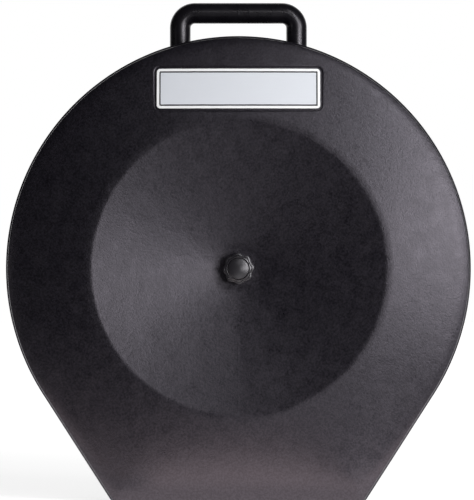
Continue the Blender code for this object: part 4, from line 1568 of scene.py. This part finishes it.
@dataclass
class CarryingHandle:
    """The rigid handle with the strip and screws that hold it to the rear shell."""

    leg_x: float = 0.07565
    bar_z: float = 0.3319
    half_thickness: float = 0.0134
    half_depth: float = 0.015
    bend: float = 0.019
    foot_edge: float = 0.0004
    foot_angle: float = math.radians(50)
    skin_share: float = 0.98
    section_segments: int = 48
    bend_steps: int = 18
    strip_outer: float = 0.2912
    strip_inner: float = 0.28818
    strip_width: float = 0.032
    strip_overhang: float = 0.012
    strip_corner: float = 0.008
    strip_edge: float = 0.0004
    strip_cells: tuple[int, int] = (40, 3)
    screw_radius: float = 0.0025
    screw_pitch: float = 0.014
    screw_grip: float = 0.018
    head_radius: float = 0.0048
    head_height: float = 0.0032
    head_rim: float = 0.35
    screw_point: float = 0.3
    recess_reach: float = 0.0026
    recess_width: float = 0.0009
    recess_depth: float = 0.0018
    crown_steps: int = 8
    screw_segments: int = 32
    hole_segments: int = 24

    @property
    def y(self) -> float:
        """Depth of the handle's middle."""
        return (FORM.parting_y + FORM.rear_fillet_y) / 2

    @property
    def span(self) -> float:
        """Width over both legs."""
        return 2 * (self.leg_x + self.half_thickness)

    @property
    def screw_length(self) -> float:
        """Length of a screw from the underside of its head."""
        return FORM.radius - FORM.rear_wall_inset(self.y) - self.screw_seat + self.screw_grip

    @property
    def screw_seat(self) -> float:
        """Distance of the screw heads' undersides from the case axis."""
        return self.strip_inner - FORM.gap

    def screw_places(self) -> dict[str, Matrix]:
        """Gives the place and lean of each screw, by its name."""
        lean = math.asin(self.leg_x / FORM.radius)
        places = {}
        for side, side_name in ((-1, "left"), (1, "right")):
            for end, end_name in ((-1, "front"), (1, "rear")):
                x = side * self.screw_seat * math.sin(lean)
                spot = (x, self.y + end * self.screw_pitch / 2, self.screw_seat * math.cos(lean))
                turn = Matrix.Rotation(side * lean, 4, "Y")
                places[f"handle_screw_{end_name}_{side_name}"] = Matrix.Translation(spot) @ turn
        return places

    def holes(self) -> list[BMesh]:
        """Builds the four shapes that the screws' holes leave."""
        length = self.screw_length + 2 * FORM.wall
        radius = self.screw_radius + FORM.gap
        shift = Matrix.Translation((0, 0, self.screw_length + FORM.gap - length / 2))
        places = self.screw_places().values()
        return [prism(radius, length, self.hole_segments, place @ shift) for place in places]

    def saddle(self) -> BMesh:
        """Builds the rear shell's outer wall, grown by the gap, to shape the handle's feet."""
        ends = [self.y + side * (self.half_depth + FORM.wall) for side in (-1, 1)]
        rings = [FORM.points(FORM.rear_wall_inset(y) - FORM.gap, 0) for y in ends]
        skin = Skin(rings[0], ends[0])
        skin.to(rings[1], ends[1])
        skin.cap()
        return skin.bm

    def mesh(self) -> BMesh:
        """Draws an oval section up one leg, over the bar and down the other."""
        bm = bmesh.new()
        leg_foot = FORM.radius * math.cos(math.asin(self.span / 2 / FORM.radius)) - 2 * FORM.wall
        bend_z = self.bar_z - self.bend
        sized = Matrix.Diagonal((self.half_thickness, self.half_depth, 1, 1))
        place = Matrix.Translation((-self.leg_x, self.y, leg_foot)) @ sized
        ring = bmesh.ops.create_circle(bm, segments=self.section_segments, radius=1, matrix=place)
        first = list({edge for vert in ring["verts"] for edge in vert.link_edges})
        rise = Vector((0, 0, bend_z - leg_foot))
        across = Vector((2 * (self.leg_x - self.bend), 0, 0))
        edges = self._bent(bm, self._run(bm, first, rise), (self.bend - self.leg_x, self.y, bend_z))
        edges = self._bent(bm, self._run(bm, edges, across), (self.leg_x - self.bend, self.y, bend_z))
        edges = self._run(bm, edges, -rise)
        for end in (first, edges):
            bmesh.ops.contextual_create(bm, geom=end)
        handle = combined(outward(bm), [self.saddle(), *self.holes()])
        sharp = [edge for edge in handle.edges if edge.calc_face_angle(0) > self.foot_angle]
        long = [edge for edge in sharp if edge.calc_length() > self.foot_edge]
        outer = [edge for edge in long if all(self._on_leg_skin(vert) for vert in edge.verts)]
        rounded(handle, outer, self.foot_edge, 2)
        return handle

    def _on_leg_skin(self, vert: BMVert) -> bool:
        """Tells whether a point at a leg's foot lies on the leg's outside and not at a screw's hole."""
        x = (abs(vert.co.x) - self.leg_x) / self.half_thickness
        return math.hypot(x, (vert.co.y - self.y) / self.half_depth) > self.skin_share

    @staticmethod
    def _run(bm: BMesh, edges: list[BMEdge], vector: Vector) -> list[BMEdge]:
        """Extrudes a ring of edges straight.

        Args:
            bm: The mesh.
            edges: The ring.
            vector: How far it goes.

        Returns:
            The ring at the far end.
        """
        made = bmesh.ops.extrude_edge_only(bm, edges=edges)["geom"]
        bmesh.ops.translate(bm, verts=picked(made, BMVert), vec=vector)
        return [edge for edge in picked(made, BMEdge) if edge.is_boundary]

    def _bent(self, bm: BMesh, edges: list[BMEdge], centre: Triple) -> list[BMEdge]:
        """Spins a ring of edges through a quarter turn.

        Args:
            bm: The mesh.
            edges: The ring.
            centre: The middle of the bend.

        Returns:
            The ring at the far end.
        """
        verts = list({vert for edge in edges for vert in edge.verts})
        made = bmesh.ops.spin(
            bm, geom=verts + edges, cent=centre, axis=(0, 1, 0), angle=math.pi / 2, steps=self.bend_steps
        )
        return picked(made["geom_last"], BMEdge)

    def strip_mesh(self) -> BMesh:
        """Bends a strip with rounded corners to the inside of the shell."""
        half_length = self.strip_outer * math.asin((self.span / 2 + self.strip_overhang) / self.strip_outer)
        sized = Matrix.Diagonal((half_length, self.strip_width / 2, 1, 1))
        bm = sheet(Matrix.Translation((0, self.y, 0)) @ sized, self.strip_cells, self.strip_corner)
        thickened(bm, (0, 0, self.strip_inner - self.strip_outer))
        for vert in bm.verts:
            turn = vert.co.x / self.strip_outer
            reach = self.strip_outer + vert.co.z
            vert.co = (reach * math.sin(turn), vert.co.y, reach * math.cos(turn))
        round_sharp(outward(bm), self.strip_edge)
        return combined(bm, self.holes())

    def screw_mesh(self) -> BMesh:
        """Builds a pan-head screw with a cross recess, pointing up +Z from under its head."""
        arch = 1 - self.head_rim
        crown = [
            (self.head_radius * math.sin(a), -self.head_height * (self.head_rim + arch * math.cos(a)))
            for a in steps(0, math.pi / 2, self.crown_steps)
        ]
        profile = crown + [
            (self.head_radius, 0),
            (self.screw_radius, 0),
            (self.screw_radius, self.screw_length - self.screw_radius),
            (self.screw_radius * self.screw_point, self.screw_length),
            (0, self.screw_length),
        ]
        slots = []
        for turn in (0, math.pi / 2):
            slot = bmesh.new()
            sized = Matrix.Diagonal((2 * self.recess_reach, self.recess_width, 2 * self.recess_depth, 1))
            place = Matrix.Translation((0, 0, -self.head_height)) @ Matrix.Rotation(turn, 4, "Z")
            bmesh.ops.create_cube(slot, size=1, matrix=place @ sized)
            slots.append(slot)
        return combined(turned(profile, self.screw_segments, axis=(0, 0, 1)), slots)

    def build(self, finishes: Finishes) -> None:
        """Adds the handle, its backing strip and its four screws."""
        Piece("handle", Body.BASE, Slot.HANDLE, finishes.handle).add(self.mesh())
        strip = Piece("handle_backing_strip", Body.BASE, Slot.STEEL, finishes.steel, even=True)
        strip.add(self.strip_mesh())
        for name, place in self.screw_places().items():
            screw = self.screw_mesh()
            bmesh.ops.transform(screw, matrix=place, verts=screw.verts)
            Piece(name, Body.BASE, Slot.STEEL, finishes.steel).add(screw)


@dataclass
class RearShell:
    """The deep rear half: tongue, bead, wall, back land, sunk panel and the rod head's pocket."""

    bore: float = 0.0043
    panel_radius: float = 0.193
    panel_step_run: float = 0.008
    pocket_radius: float = 0.052
    pocket_floor_radius: float = 0.036
    small_edge: float = 0.0004
    bead_edge: float = 0.0006
    panel_edge: float = 0.0022
    fillet_steps: int = 10

    def mesh(self) -> BMesh:
        """Draws the shell from the inside of the panel out over the back, and closes its wall."""
        form = FORM
        wall = form.wall
        run = self.panel_radius - self.panel_step_run
        panel_slope = math.atan2(form.panel_recess, self.panel_step_run)
        drop = form.pocket_depth - form.panel_recess
        pocket_slope = math.atan2(drop, self.pocket_radius - self.pocket_floor_radius)
        panel_shift = wall * math.tan(panel_slope / 2)
        pocket_shift = wall * math.tan(pocket_slope / 2)
        seat_y = form.parting_y + form.gap
        bead_y = seat_y + form.bead_width
        tip_y = form.parting_y - form.tongue
        hole = form.round_points(self.bore)
        tongue = form.points(form.tongue_inset, form.tongue_inset)
        tongue_inner = form.points(form.tongue_inset + wall, form.tongue_inset + wall)
        skin = Skin(form.round_points(run + panel_shift), form.panel_y - wall)
        skin.to(form.round_points(self.pocket_radius + pocket_shift), form.panel_y - wall)
        skin.to(form.round_points(self.pocket_floor_radius + pocket_shift), form.pocket_y - wall)
        small = [skin.to(hole, form.pocket_y - wall), skin.to(hole, form.pocket_y)]
        soft = [skin.to(form.round_points(self.pocket_floor_radius), form.pocket_y)]
        soft.append(skin.to(form.round_points(self.pocket_radius), form.panel_y))
        soft.append(skin.to(form.round_points(run), form.panel_y))
        soft.append(skin.to(form.round_points(self.panel_radius), form.back_y))
        skin.through(form.back_edge(0, self.fillet_steps))
        bead = [skin.to(form.points(form.bead_height, 0), bead_y + form.bead_bevel)]
        bead.append(skin.to(form.points(0, 0), bead_y))
        small.append(skin.to(form.points(0, 0), seat_y))
        skin.to(tongue, seat_y)
        small.append(skin.to(tongue, tip_y))
        small.append(skin.to(tongue_inner, tip_y))
        skin.to(tongue_inner, bead_y + form.bead_bevel)
        skin.to(form.points(form.rear_inset + wall, wall), bead_y + form.bead_bevel + form.rim_runout)
        skin.through(form.back_edge(wall, self.fillet_steps // 2)[::-1])
        skin.to(form.round_points(self.panel_radius + panel_shift), form.back_y - wall)
        skin.close()
        skin.soften(small, self.small_edge)
        skin.soften(bead, self.bead_edge)
        skin.soften(soft, self.panel_edge, 4)
        return skin.bm

    def build(self, finishes: Finishes, handle: CarryingHandle) -> None:
        """Adds the rear shell with the holes of the handle's screws."""
        shell = combined(self.mesh(), handle.holes())
        Piece("rear_shell", Body.BASE, Slot.SHELL, finishes.shell, even=True).add(shell)


@dataclass
class CentreRod:
    """The threaded rod, what clamps it to the rear shell, its sleeve and the rear foam pad."""

    radius: float = 0.004
    thread_pitch: float = 0.00125
    thread_depth: float = 0.0007
    thread_overlap: float = 0.0001
    thread_turn_steps: int = 24
    thread_fill: float = 0.47
    thread_crest: float = 0.125
    tip_chamfer: float = 0.001
    tip_y: float = -0.0534
    thread_start_y: float = -0.018
    head_radius: float = 0.010
    head_height: float = 0.0045
    outer_washer_radius: float = 0.020
    outer_washer_thickness: float = 0.002
    inner_washer_radius: float = 0.015
    inner_washer_thickness: float = 0.0016
    nut_half_flats: float = 0.0065
    nut_thickness: float = 0.0065
    nut_collar: float = 0.0015
    nut_collar_inset: float = 0.0012
    nut_collar_step: float = 0.0004
    nut_chamfer_fall: float = 0.6
    nut_spare: float = 0.0002
    sleeve_wall: float = 0.0018
    sleeve_front_y: float = -0.0267
    pad_radius: float = 0.035
    pad_thickness: float = 0.016
    pad_clearance: float = 0.0012
    edge: float = 0.0003
    dome_steps: int = 12
    rod_segments: int = 48
    nut_sides: int = 6
    nut_segments: int = 64

    @property
    def bore(self) -> float:
        """Radius of the holes that the rod passes through."""
        return self.radius + FORM.gap

    @property
    def outer_washer_y(self) -> float:
        """Depth of the outer washer's front."""
        return FORM.pocket_y + FORM.gap

    @property
    def head_y(self) -> float:
        """Depth of the underside of the rod's head."""
        return self.outer_washer_y + self.outer_washer_thickness + FORM.gap

    @property
    def inner_washer_y(self) -> float:
        """Depth of the inner washer's back."""
        return FORM.pocket_y - FORM.wall - FORM.gap

    @property
    def nut_y(self) -> float:
        """Depth of the lock nut's back."""
        return self.inner_washer_y - self.inner_washer_thickness - FORM.gap

    @property
    def sleeve_rear_y(self) -> float:
        """Depth of the sleeve's back end."""
        return self.nut_y - self.nut_thickness - FORM.gap

    def rod_mesh(self) -> BMesh:
        """Builds the rod with its domed head and the thread that the knob runs on."""
        head_end = self.head_y + self.head_height
        root = self.radius - self.thread_depth
        shares = steps(0, 1, self.dome_steps)
        dome = [(self.head_radius * share, head_end - self.head_height * share**3) for share in shares]
        bm = turned(
            dome
            + [
                (self.radius, self.head_y),
                (self.radius, self.thread_start_y),
                (root, self.thread_start_y - self.thread_depth),
                (root, self.tip_y + self.tip_chamfer),
                (root - self.tip_chamfer / 2, self.tip_y),
                (0, self.tip_y),
            ],
            segments=self.rod_segments,
        )
        self._thread(bm)
        return bm

    def _thread(self, bm: BMesh) -> None:
        """Winds the thread's ridge round the rod, fading at both ends.

        Args:
            bm: The rod's mesh, which gets the ridge.
        """
        root = self.radius - self.thread_depth - self.thread_overlap
        half = self.thread_pitch * self.thread_fill
        crest = half * self.thread_crest
        start_y = self.thread_start_y
        length = start_y - self.tip_y - self.tip_chamfer
        turns = int(length / self.thread_pitch) - 1
        section = [(root, -half), (self.radius, -crest), (self.radius, crest), (root, half)]
        verts = [bm.verts.new((radius, start_y - half + y, 0)) for radius, y in section]
        face = bm.faces.new(verts)
        count = turns * self.thread_turn_steps
        bmesh.ops.spin(
            bm,
            geom=verts + list(face.edges) + [face],
            axis=(0, 1, 0),
            angle=2 * math.pi * turns,
            steps=count,
            dvec=(0, -self.thread_pitch / self.thread_turn_steps, 0),
        )
        end_y = start_y - half - turns * self.thread_pitch
        for vert in bm.verts:
            reach = math.hypot(vert.co.x, vert.co.z)
            if reach <= root + self.thread_overlap or vert.co.y > start_y:
                continue
            fade = min(start_y - vert.co.y, vert.co.y - end_y) / self.thread_pitch
            share = (root + (reach - root) * min(1.0, max(0.0, fade))) / reach
            vert.co = (vert.co.x * share, vert.co.y, vert.co.z * share)
        bmesh.ops.recalc_face_normals(bm, faces=bm.faces)

    def nut_mesh(self) -> BMesh:
        """Builds the lock nut: a chamfered hexagon with a collar and a bore."""
        corner = self.nut_half_flats / math.cos(math.pi / self.nut_sides)
        middle = self.nut_y - self.nut_thickness / 2
        turn = Matrix.Translation((0, middle, 0)) @ Matrix.Rotation(math.pi / 2, 4, "X")
        hexagon = prism(corner, self.nut_thickness, self.nut_sides, turn)
        back = self.nut_y
        front = self.nut_y - self.nut_thickness
        spare = self.nut_spare
        chamfer = corner - self.nut_half_flats + spare
        fall = chamfer * self.nut_chamfer_fall
        collar_y = front + self.nut_collar
        limits = turned(
            [
                (self.bore, front),
                (self.nut_half_flats - self.nut_collar_inset, front),
                (self.nut_half_flats - self.nut_collar_step, collar_y),
                (corner, collar_y + fall),
                (corner + spare, back - fall),
                (corner - chamfer, back + spare / 2),
                (self.bore, back + spare / 2),
            ],
            segments=self.nut_segments,
        )
        return combined(hexagon, [limits], Join.KEEP_SHARED)

    def pad_mesh(self) -> BMesh:
        """Builds the rear foam ring."""
        inner = self.inner_washer_radius + self.pad_clearance
        front_y = self.inner_washer_y - self.pad_thickness
        return foam_ring(inner, self.pad_radius, front_y, self.inner_washer_y)

    def build(self, finishes: Finishes) -> None:
        """Adds the rod, its washers, nut, sleeve and foam pad."""
        steel = finishes.steel
        outer_end = self.outer_washer_y + self.outer_washer_thickness
        inner_start = self.inner_washer_y - self.inner_washer_thickness
        outer = washer(self.bore, self.outer_washer_radius, self.outer_washer_y, outer_end, self.edge)
        inner = washer(self.bore, self.inner_washer_radius, inner_start, self.inner_washer_y, self.edge)
        sleeve_radius = self.bore + self.sleeve_wall
        sleeve = washer(self.bore, sleeve_radius, self.sleeve_front_y, self.sleeve_rear_y, self.edge)
        Piece("centre_rod", Body.BASE, Slot.STEEL, steel).add(self.rod_mesh())
        Piece("rod_outer_washer", Body.BASE, Slot.STEEL, steel, even=True).add(outer)
        Piece("rod_inner_washer", Body.BASE, Slot.STEEL, steel, even=True).add(inner)
        Piece("rod_lock_nut", Body.BASE, Slot.STEEL, steel).add(self.nut_mesh())
        Piece("rod_sleeve", Body.BASE, Slot.NYLON, finishes.nylon, even=True).add(sleeve)
        pad = Piece("rear_foam_pad", Body.BASE, Slot.FOAM, finishes.foam).add(self.pad_mesh())


FOAM_WAIST = 0.0006
FOAM_EDGE = 0.0013
FOAM_SEGMENTS = 96


def foam_ring(inner: float, outer: float, front_y: float, back_y: float) -> BMesh:
    """Builds a foam ring whose sides draw in a little between its soft edges.

    Args:
        inner: Its bore's radius.
        outer: Its outer radius.
        front_y: The depth of its front.
        back_y: The depth of its back.

    Returns:
        The ring.
    """
    middle = (front_y + back_y) / 2
    bm = turned(
        [
            (inner, front_y),
            ((inner + outer) / 2, front_y),
            (outer, front_y),
            (outer - FOAM_WAIST, middle),
            (outer, back_y),
            ((inner + outer) / 2, back_y),
            (inner, back_y),
            (inner + FOAM_WAIST / 2, middle),
        ],
        segments=FOAM_SEGMENTS,
    )
    round_sharp(bm, FOAM_EDGE, segments=4)
    return bm


@dataclass
class LidBush:
    """The bush that lines the rod's hole in the lid, its retainer and the front foam pad."""

    bore: float = 0.0045
    wall: float = 0.0025
    flange_radius: float = 0.015
    flange_thickness: float = 0.002
    tail: float = 0.003
    retainer_width: float = 0.005
    retainer_thickness: float = 0.002
    pad_radius: float = 0.028
    pad_thickness: float = 0.012
    pad_clearance: float = 0.0012
    edge: float = 0.0003

    @property
    def face_y(self) -> float:
        """Depth of the flange's front."""
        return FORM.boss_y - FORM.gap - self.flange_thickness

    def build(self, finishes: Finishes) -> None:
        """Adds the bush, its retainer and the front foam pad."""
        barrel = self.bore + self.wall
        shoulder_y = self.face_y + self.flange_thickness
        tail_y = FORM.boss_y + FORM.wall + self.tail
        depths = (self.face_y, shoulder_y, tail_y)
        bush = flanged((self.bore, barrel, self.flange_radius), depths, self.edge)
        seat_y = FORM.boss_y + FORM.wall + FORM.gap
        retainer_radius = barrel + self.retainer_width
        retainer = washer(
            barrel + FORM.gap, retainer_radius, seat_y, seat_y + self.retainer_thickness, self.edge
        )
        pad = foam_ring(
            retainer_radius + self.pad_clearance, self.pad_radius, seat_y, seat_y + self.pad_thickness
        )
        Piece("lid_bush", Body.LID, Slot.NYLON, finishes.nylon, even=True).add(bush)
        Piece("lid_bush_retainer", Body.LID, Slot.NYLON, finishes.nylon, even=True).add(retainer)
        foam = Piece("front_foam_pad", Body.LID, Slot.FOAM, finishes.foam).add(pad)


@dataclass
class ClampingKnob:
    """The eight-lobed knob with its thrust washer, brass insert and domed cap."""

    tip_radius: float = 0.0204
    lobes: int = 8
    lobe_depth: float = 0.0020
    lobe_steps: int = 16
    lobe_turn: float = math.radians(4)
    hub_radius: float = 0.0115
    hub_length: float = 0.004
    head_height: float = 0.015
    lower_bevel: float = 0.0015
    front_profile: tuple[Triple, ...] = (
        (0.0000, 1.00, 0.0040),
        (0.0001, 1.00, 0.0028),
        (0.0002, 1.00, 0.0020),
        (0.0005, 1.00, 0.0015),
        (0.0010, 0.98, 0.00126),
        (0.0015, 0.96, 0.00110),
        (0.0020, 0.93, 0.00095),
        (0.0024, 0.91, 0.00085),
        (0.0027, 0.89, 0.0011),
        (0.0030, 0.84, 0.0013),
        (0.0033, 0.74, 0.0011),
        (0.0038, 0.56, 0.00063),
        (0.0045, 0.34, 0.00041),
        (0.0052, 0.12, 0.00019),
        (0.0058, 0.00, 0.0),
    )
    cap_radius: float = 0.0138
    cap_rim: float = 0.003
    cap_dome: float = 0.0025
    cap_groove: float = 0.0006
    washer_radius: float = 0.012
    washer_thickness: float = 0.0015
    rod_bore: float = 0.0043
    insert_wall: float = 0.0017
    insert_flange: float = 0.0015
    insert_flange_thickness: float = 0.0012
    edge: float = 0.0002
    lobe_edge: float = 0.0005
    dome_steps: int = 14
    cap_segments: int = 96

    @property
    def washer_y(self) -> float:
        """Depth of the thrust washer's front."""
        return LidBush().face_y - FORM.gap - self.washer_thickness

    @property
    def base_y(self) -> float:
        """Depth of the knob's back."""
        return self.washer_y - FORM.gap

    @property
    def top_y(self) -> float:
        """Depth of the knob's front land."""
        return self.base_y - self.hub_length - self.head_height

    @property
    def cap_seat_y(self) -> float:
        """Depth of the floor that the cap sits on."""
        return self.top_y + self.cap_rim

    def lobed(self, tip: float, depth: float) -> Points:
        """Lays points on a line with a lobe at each tip.

        Args:
            tip: Its radius at the tips.
            depth: How far it falls between them.

        Returns:
            The (x, z) points about the case axis.
        """
        points = []
        for angle in steps(0, 2 * math.pi, self.lobes * self.lobe_steps)[:-1]:
            radius = tip - depth * (1 - math.cos(self.lobes * angle)) / 2
            bearing = angle + self.lobe_turn
            points.append((radius * math.cos(bearing), radius * math.sin(bearing)))
        return points

    def body_mesh(self) -> BMesh:
        """Draws the knob from its bore over the hub, the lobes and the groove to the cap's seat."""
        depth = self.lobe_depth
        head_y = self.base_y - self.hub_length
        insert_radius = self.rod_bore + self.insert_wall
        insert_bore = insert_radius + FORM.gap
        flange_bore = insert_radius + self.insert_flange + FORM.gap
        flange_y = self.cap_seat_y + self.insert_flange_thickness + FORM.gap
        top = self.top_y
        skin = Skin(self.lobed(insert_bore, 0), self.base_y)
        sharp = [skin.to(self.lobed(self.hub_radius, 0), self.base_y)]
        skin.to(self.lobed(self.hub_radius, 0), head_y)
        soft = [skin.to(self.lobed(self.tip_radius - self.lower_bevel, depth), head_y)]
        soft.append(skin.to(self.lobed(self.tip_radius, depth), head_y - self.lower_bevel))
        for inset, share, below in self.front_profile:
            skin.to(self.lobed(self.tip_radius - inset, depth * share), top + below)
        sharp.append(skin.to(self.lobed(self.cap_radius + self.cap_groove, 0), top))
        skin.to(self.lobed(self.cap_radius, 0), top + 2 * self.cap_groove)
        skin.to(self.lobed(self.cap_radius, 0), self.cap_seat_y)
        skin.to(self.lobed(flange_bore, 0), self.cap_seat_y)
        skin.to(self.lobed(flange_bore, 0), flange_y)
        skin.to(self.lobed(insert_bore, 0), flange_y)
        skin.close()
        skin.soften(soft, self.lobe_edge)
        skin.soften(sharp, self.edge, 2)
        return skin.bm

    def cap_mesh(self) -> BMesh:
        """Turns the domed cap."""
        rim = self.cap_radius - FORM.gap
        back_y = self.cap_seat_y - FORM.gap
        shares = steps(0, 1, self.dome_steps)
        dome = [(rim * share, self.top_y - self.cap_dome * (1 - share * share)) for share in shares]
        return turned(dome + [(rim, back_y), (0, back_y)], self.cap_segments, self.cap_groove)

    def insert_mesh(self) -> BMesh:
        """Turns the brass insert with its flange."""
        radius = self.rod_bore + self.insert_wall
        flange = radius + self.insert_flange
        flange_y = self.cap_seat_y + self.insert_flange_thickness
        depths = (self.cap_seat_y, flange_y, self.base_y)
        return flanged((self.rod_bore, radius, flange), depths, self.edge)

    def build(self, finishes: Finishes) -> None:
        """Adds the knob's four pieces."""
        back_y = self.washer_y + self.washer_thickness
        thrust = washer(self.rod_bore, self.washer_radius, self.washer_y, back_y, self.edge)
        Piece("knob_washer", Body.CARRIER, Slot.NYLON, finishes.nylon, even=True).add(thrust)
        Piece("knob_body", Body.KNOB, Slot.KNOB, finishes.knob, even=True).add(self.body_mesh())
        Piece("knob_insert", Body.KNOB, Slot.BRASS, finishes.brass, even=True).add(self.insert_mesh())
        Piece("knob_cap", Body.KNOB, Slot.KNOB, finishes.knob).add(self.cap_mesh())


# Studio


FOOT_WARMTH: Colour = (1.0, 0.825, 0.78)


def add_lamp(
    name: str, size: tuple[float, float], radiance: float, colour: Colour, place: Vector, aim: Vector
) -> None:
    """Adds a rectangular lamp that the camera doesn't see.

    Args:
        name: Its name.
        size: Its width and height.
        radiance: How bright its face is, where 1 is a white that a lens records as white.
        colour: Its tint.
        place: Its middle.
        aim: The way it faces.
    """
    lamp = bpy.data.lights.new(name, "AREA")
    lamp.shape = "RECTANGLE"
    lamp.size, lamp.size_y = size
    lamp.energy = radiance * math.pi * size[0] * size[1]
    lamp.color = colour
    obj = bpy.data.objects.new(name, lamp)
    obj.location = place
    obj.rotation_euler = aim.to_track_quat("-Z", "Y").to_euler()
    obj.visible_camera = False
    bpy.context.scene.collection.objects.link(obj)
    LOG.info("%s at %s", name, tuple(round(value, 3) for value in place))


@dataclass(frozen=True)
class Softbox:
    """A soft lamp on a sphere round the case, turned to its middle."""

    name: str
    right: float
    up: float
    size: tuple[float, float]
    radiance: float
    colour: Colour = WHITE
    reach: float = 2.2
    centre: Triple = (0.0, -0.05, 0.32)

    def build(self) -> None:
        """Adds the lamp."""
        right = math.radians(self.right)
        up = math.radians(self.up)
        way = Vector((math.sin(right) * math.cos(up), -math.cos(right) * math.cos(up), math.sin(up)))
        place = Vector(self.centre) + way * self.reach
        add_lamp(self.name, self.size, self.radiance, self.colour, place, -way)


@dataclass(frozen=True)
class FloorCard:
    """A glowing card that lies in front of the foot and faces up."""

    name: str
    left: float
    right: float
    front: float
    back: float
    radiance: float
    colour: Colour = WHITE
    height: float = 0.001

    def build(self) -> None:
        """Adds the lamp."""
        size = (self.right - self.left, self.back - self.front)
        place = Vector(((self.left + self.right) / 2, (self.front + self.back) / 2, self.height))
        add_lamp(self.name, size, self.radiance, self.colour, place, Vector((0, 0, 1)))


@dataclass
class Studio:
    """The pale floor, the white surroundings, the soft lamps and the camera."""

    camera_place: Triple = (-0.0018, -5.026, 0.3239)
    lens: float = 279.0
    floor_width: float = 8.0
    floor_front: float = -0.62
    floor_back: float = 12.0
    floor_colour: Colour = (0.80, 0.80, 0.80)
    floor_roughness: float = 0.9
    floor_glow: float = 0.80
    floor_glow_far: float = 1.0
    ambient: float = 0.12
    front_gloss: float = 0.03
    mirrored_floor: tuple[float, float] = (-0.25, -0.05)
    far_floor: tuple[float, float] = (0.4, 3.0)
    behind: tuple[float, float] = (0.55, 1.0)
    sensor_width: float = 36.0
    sight: float = 50.0
    lamps: tuple[Union[Softbox, FloorCard], ...] = (
        Softbox("near_right", 21.0, 0.0, (0.53, 0.55), 6.9),
        Softbox("far_right", 37.5, 6.0, (0.45, 1.09), 12.0),
        Softbox("rim_right", 56.0, 10.0, (0.36, 1.30), 10.0),
        Softbox("high_right", 32.0, 28.0, (0.30, 0.55), 13.4, (0.97, 1.0, 1.0)),
        Softbox("top_right", 28.0, 44.0, (0.45, 0.55), 3.4),
        Softbox("high_front", 5.0, 26.0, (0.40, 0.20), 5.4),
        Softbox("left_fill", -60.0, 0.0, (0.30, 0.55), 1.2),
        FloorCard("foot_card_near", -0.45, 0.45, -0.09, -0.049, 0.98, FOOT_WARMTH),
        FloorCard("foot_card_right", -0.12, 0.40, -0.14, -0.09, 1.95, FOOT_WARMTH),
        FloorCard("foot_card_left", -0.45, 0.12, -0.22, -0.14, 1.65, FOOT_WARMTH),
        FloorCard("front_card", -0.10, 0.60, -1.17, -0.75, 0.4),
        FloorCard("knob_card", -0.10, 0.20, -0.70, -0.42, 1.2),
    )

    def build(self) -> None:
        """Adds everything that isn't the case."""
        self._floor()
        self._world()
        self._camera()
        for lamp in self.lamps:
            lamp.build()
        bpy.context.scene.view_settings.view_transform = "Standard"

    def _floor(self) -> None:
        """Adds the sheet that the case stands on, which keeps its shadow."""
        bm = bmesh.new()
        centre = (0, (self.floor_front + self.floor_back) / 2, 0)
        sized = Matrix.Diagonal((self.floor_width, self.floor_back - self.floor_front, 1, 1))
        bmesh.ops.create_grid(
            bm, x_segments=1, y_segments=1, size=0.5, matrix=Matrix.Translation(centre) @ sized
        )
        mesh = bpy.data.meshes.new("pale_floor")
        bm.to_mesh(mesh)
        bm.free()
        graph = FinishGraph("pale_floor")
        graph.set(Base_Color=self.floor_colour, Roughness=self.floor_roughness, Emission_Color=WHITE)
        beside = graph.axes["y"].rise(*self.mirrored_floor)
        far = graph.axes["y"].rise(*self.far_floor)
        level = self.floor_glow + (self.floor_glow_far - self.floor_glow) * far
        graph.set(Emission_Strength=graph.ray("Camera").at_least(graph.seen() * beside) * level)
        mesh.materials.append(graph.material)
        floor = bpy.data.objects.new("pale_floor", mesh)
        bpy.context.scene.collection.objects.link(floor)

    def _world(self) -> None:
        """Adds white surroundings behind the case and a dim room in front of it."""
        world = bpy.data.worlds.new("white_studio")
        bpy.context.scene.world = world
        world.use_nodes = True
        graph = Graph(world.node_tree)
        camera = graph.ray("Camera")
        seen = graph.seen()
        away = graph.parts(graph.node("ShaderNodeTexCoord", output="Generated"))["y"]
        mirrored = self.front_gloss + (1 - self.front_gloss) * away.rise(*self.behind)
        strength = camera + (1 - camera) * (seen * mirrored + (1 - seen) * self.ambient)
        background = world.node_tree.nodes["Background"]
        graph.feed(background.inputs["Color"], WHITE)
        graph.feed(background.inputs["Strength"], strength)

    def _camera(self) -> None:
        """Adds the camera, level with the case and straight in front of it."""
        data = bpy.data.cameras.new("front_camera")
        data.lens = self.lens
        data.sensor_width = self.sensor_width
        data.clip_end = self.sight
        camera = bpy.data.objects.new("front_camera", data)
        camera.location = self.camera_place
        camera.rotation_euler = (math.pi / 2, 0, 0)
        bpy.context.scene.collection.objects.link(camera)
        bpy.context.scene.camera = camera


def main() -> None:
    """Builds the case piece by piece, then the studio."""
    logging.basicConfig(level=logging.INFO, format="%(name)s: %(message)s")
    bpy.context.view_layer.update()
    finishes = Finishes()
    plate = NamePlate()
    handle = CarryingHandle()
    FrontShell().build(finishes, plate)
    plate.build(finishes)
    RearShell().build(finishes, handle)
    handle.build(finishes)
    CentreRod().build(finishes)
    LidBush().build(finishes)
    ClampingKnob().build(finishes)
    Studio().build()


if __name__ == "__main__":
    main()
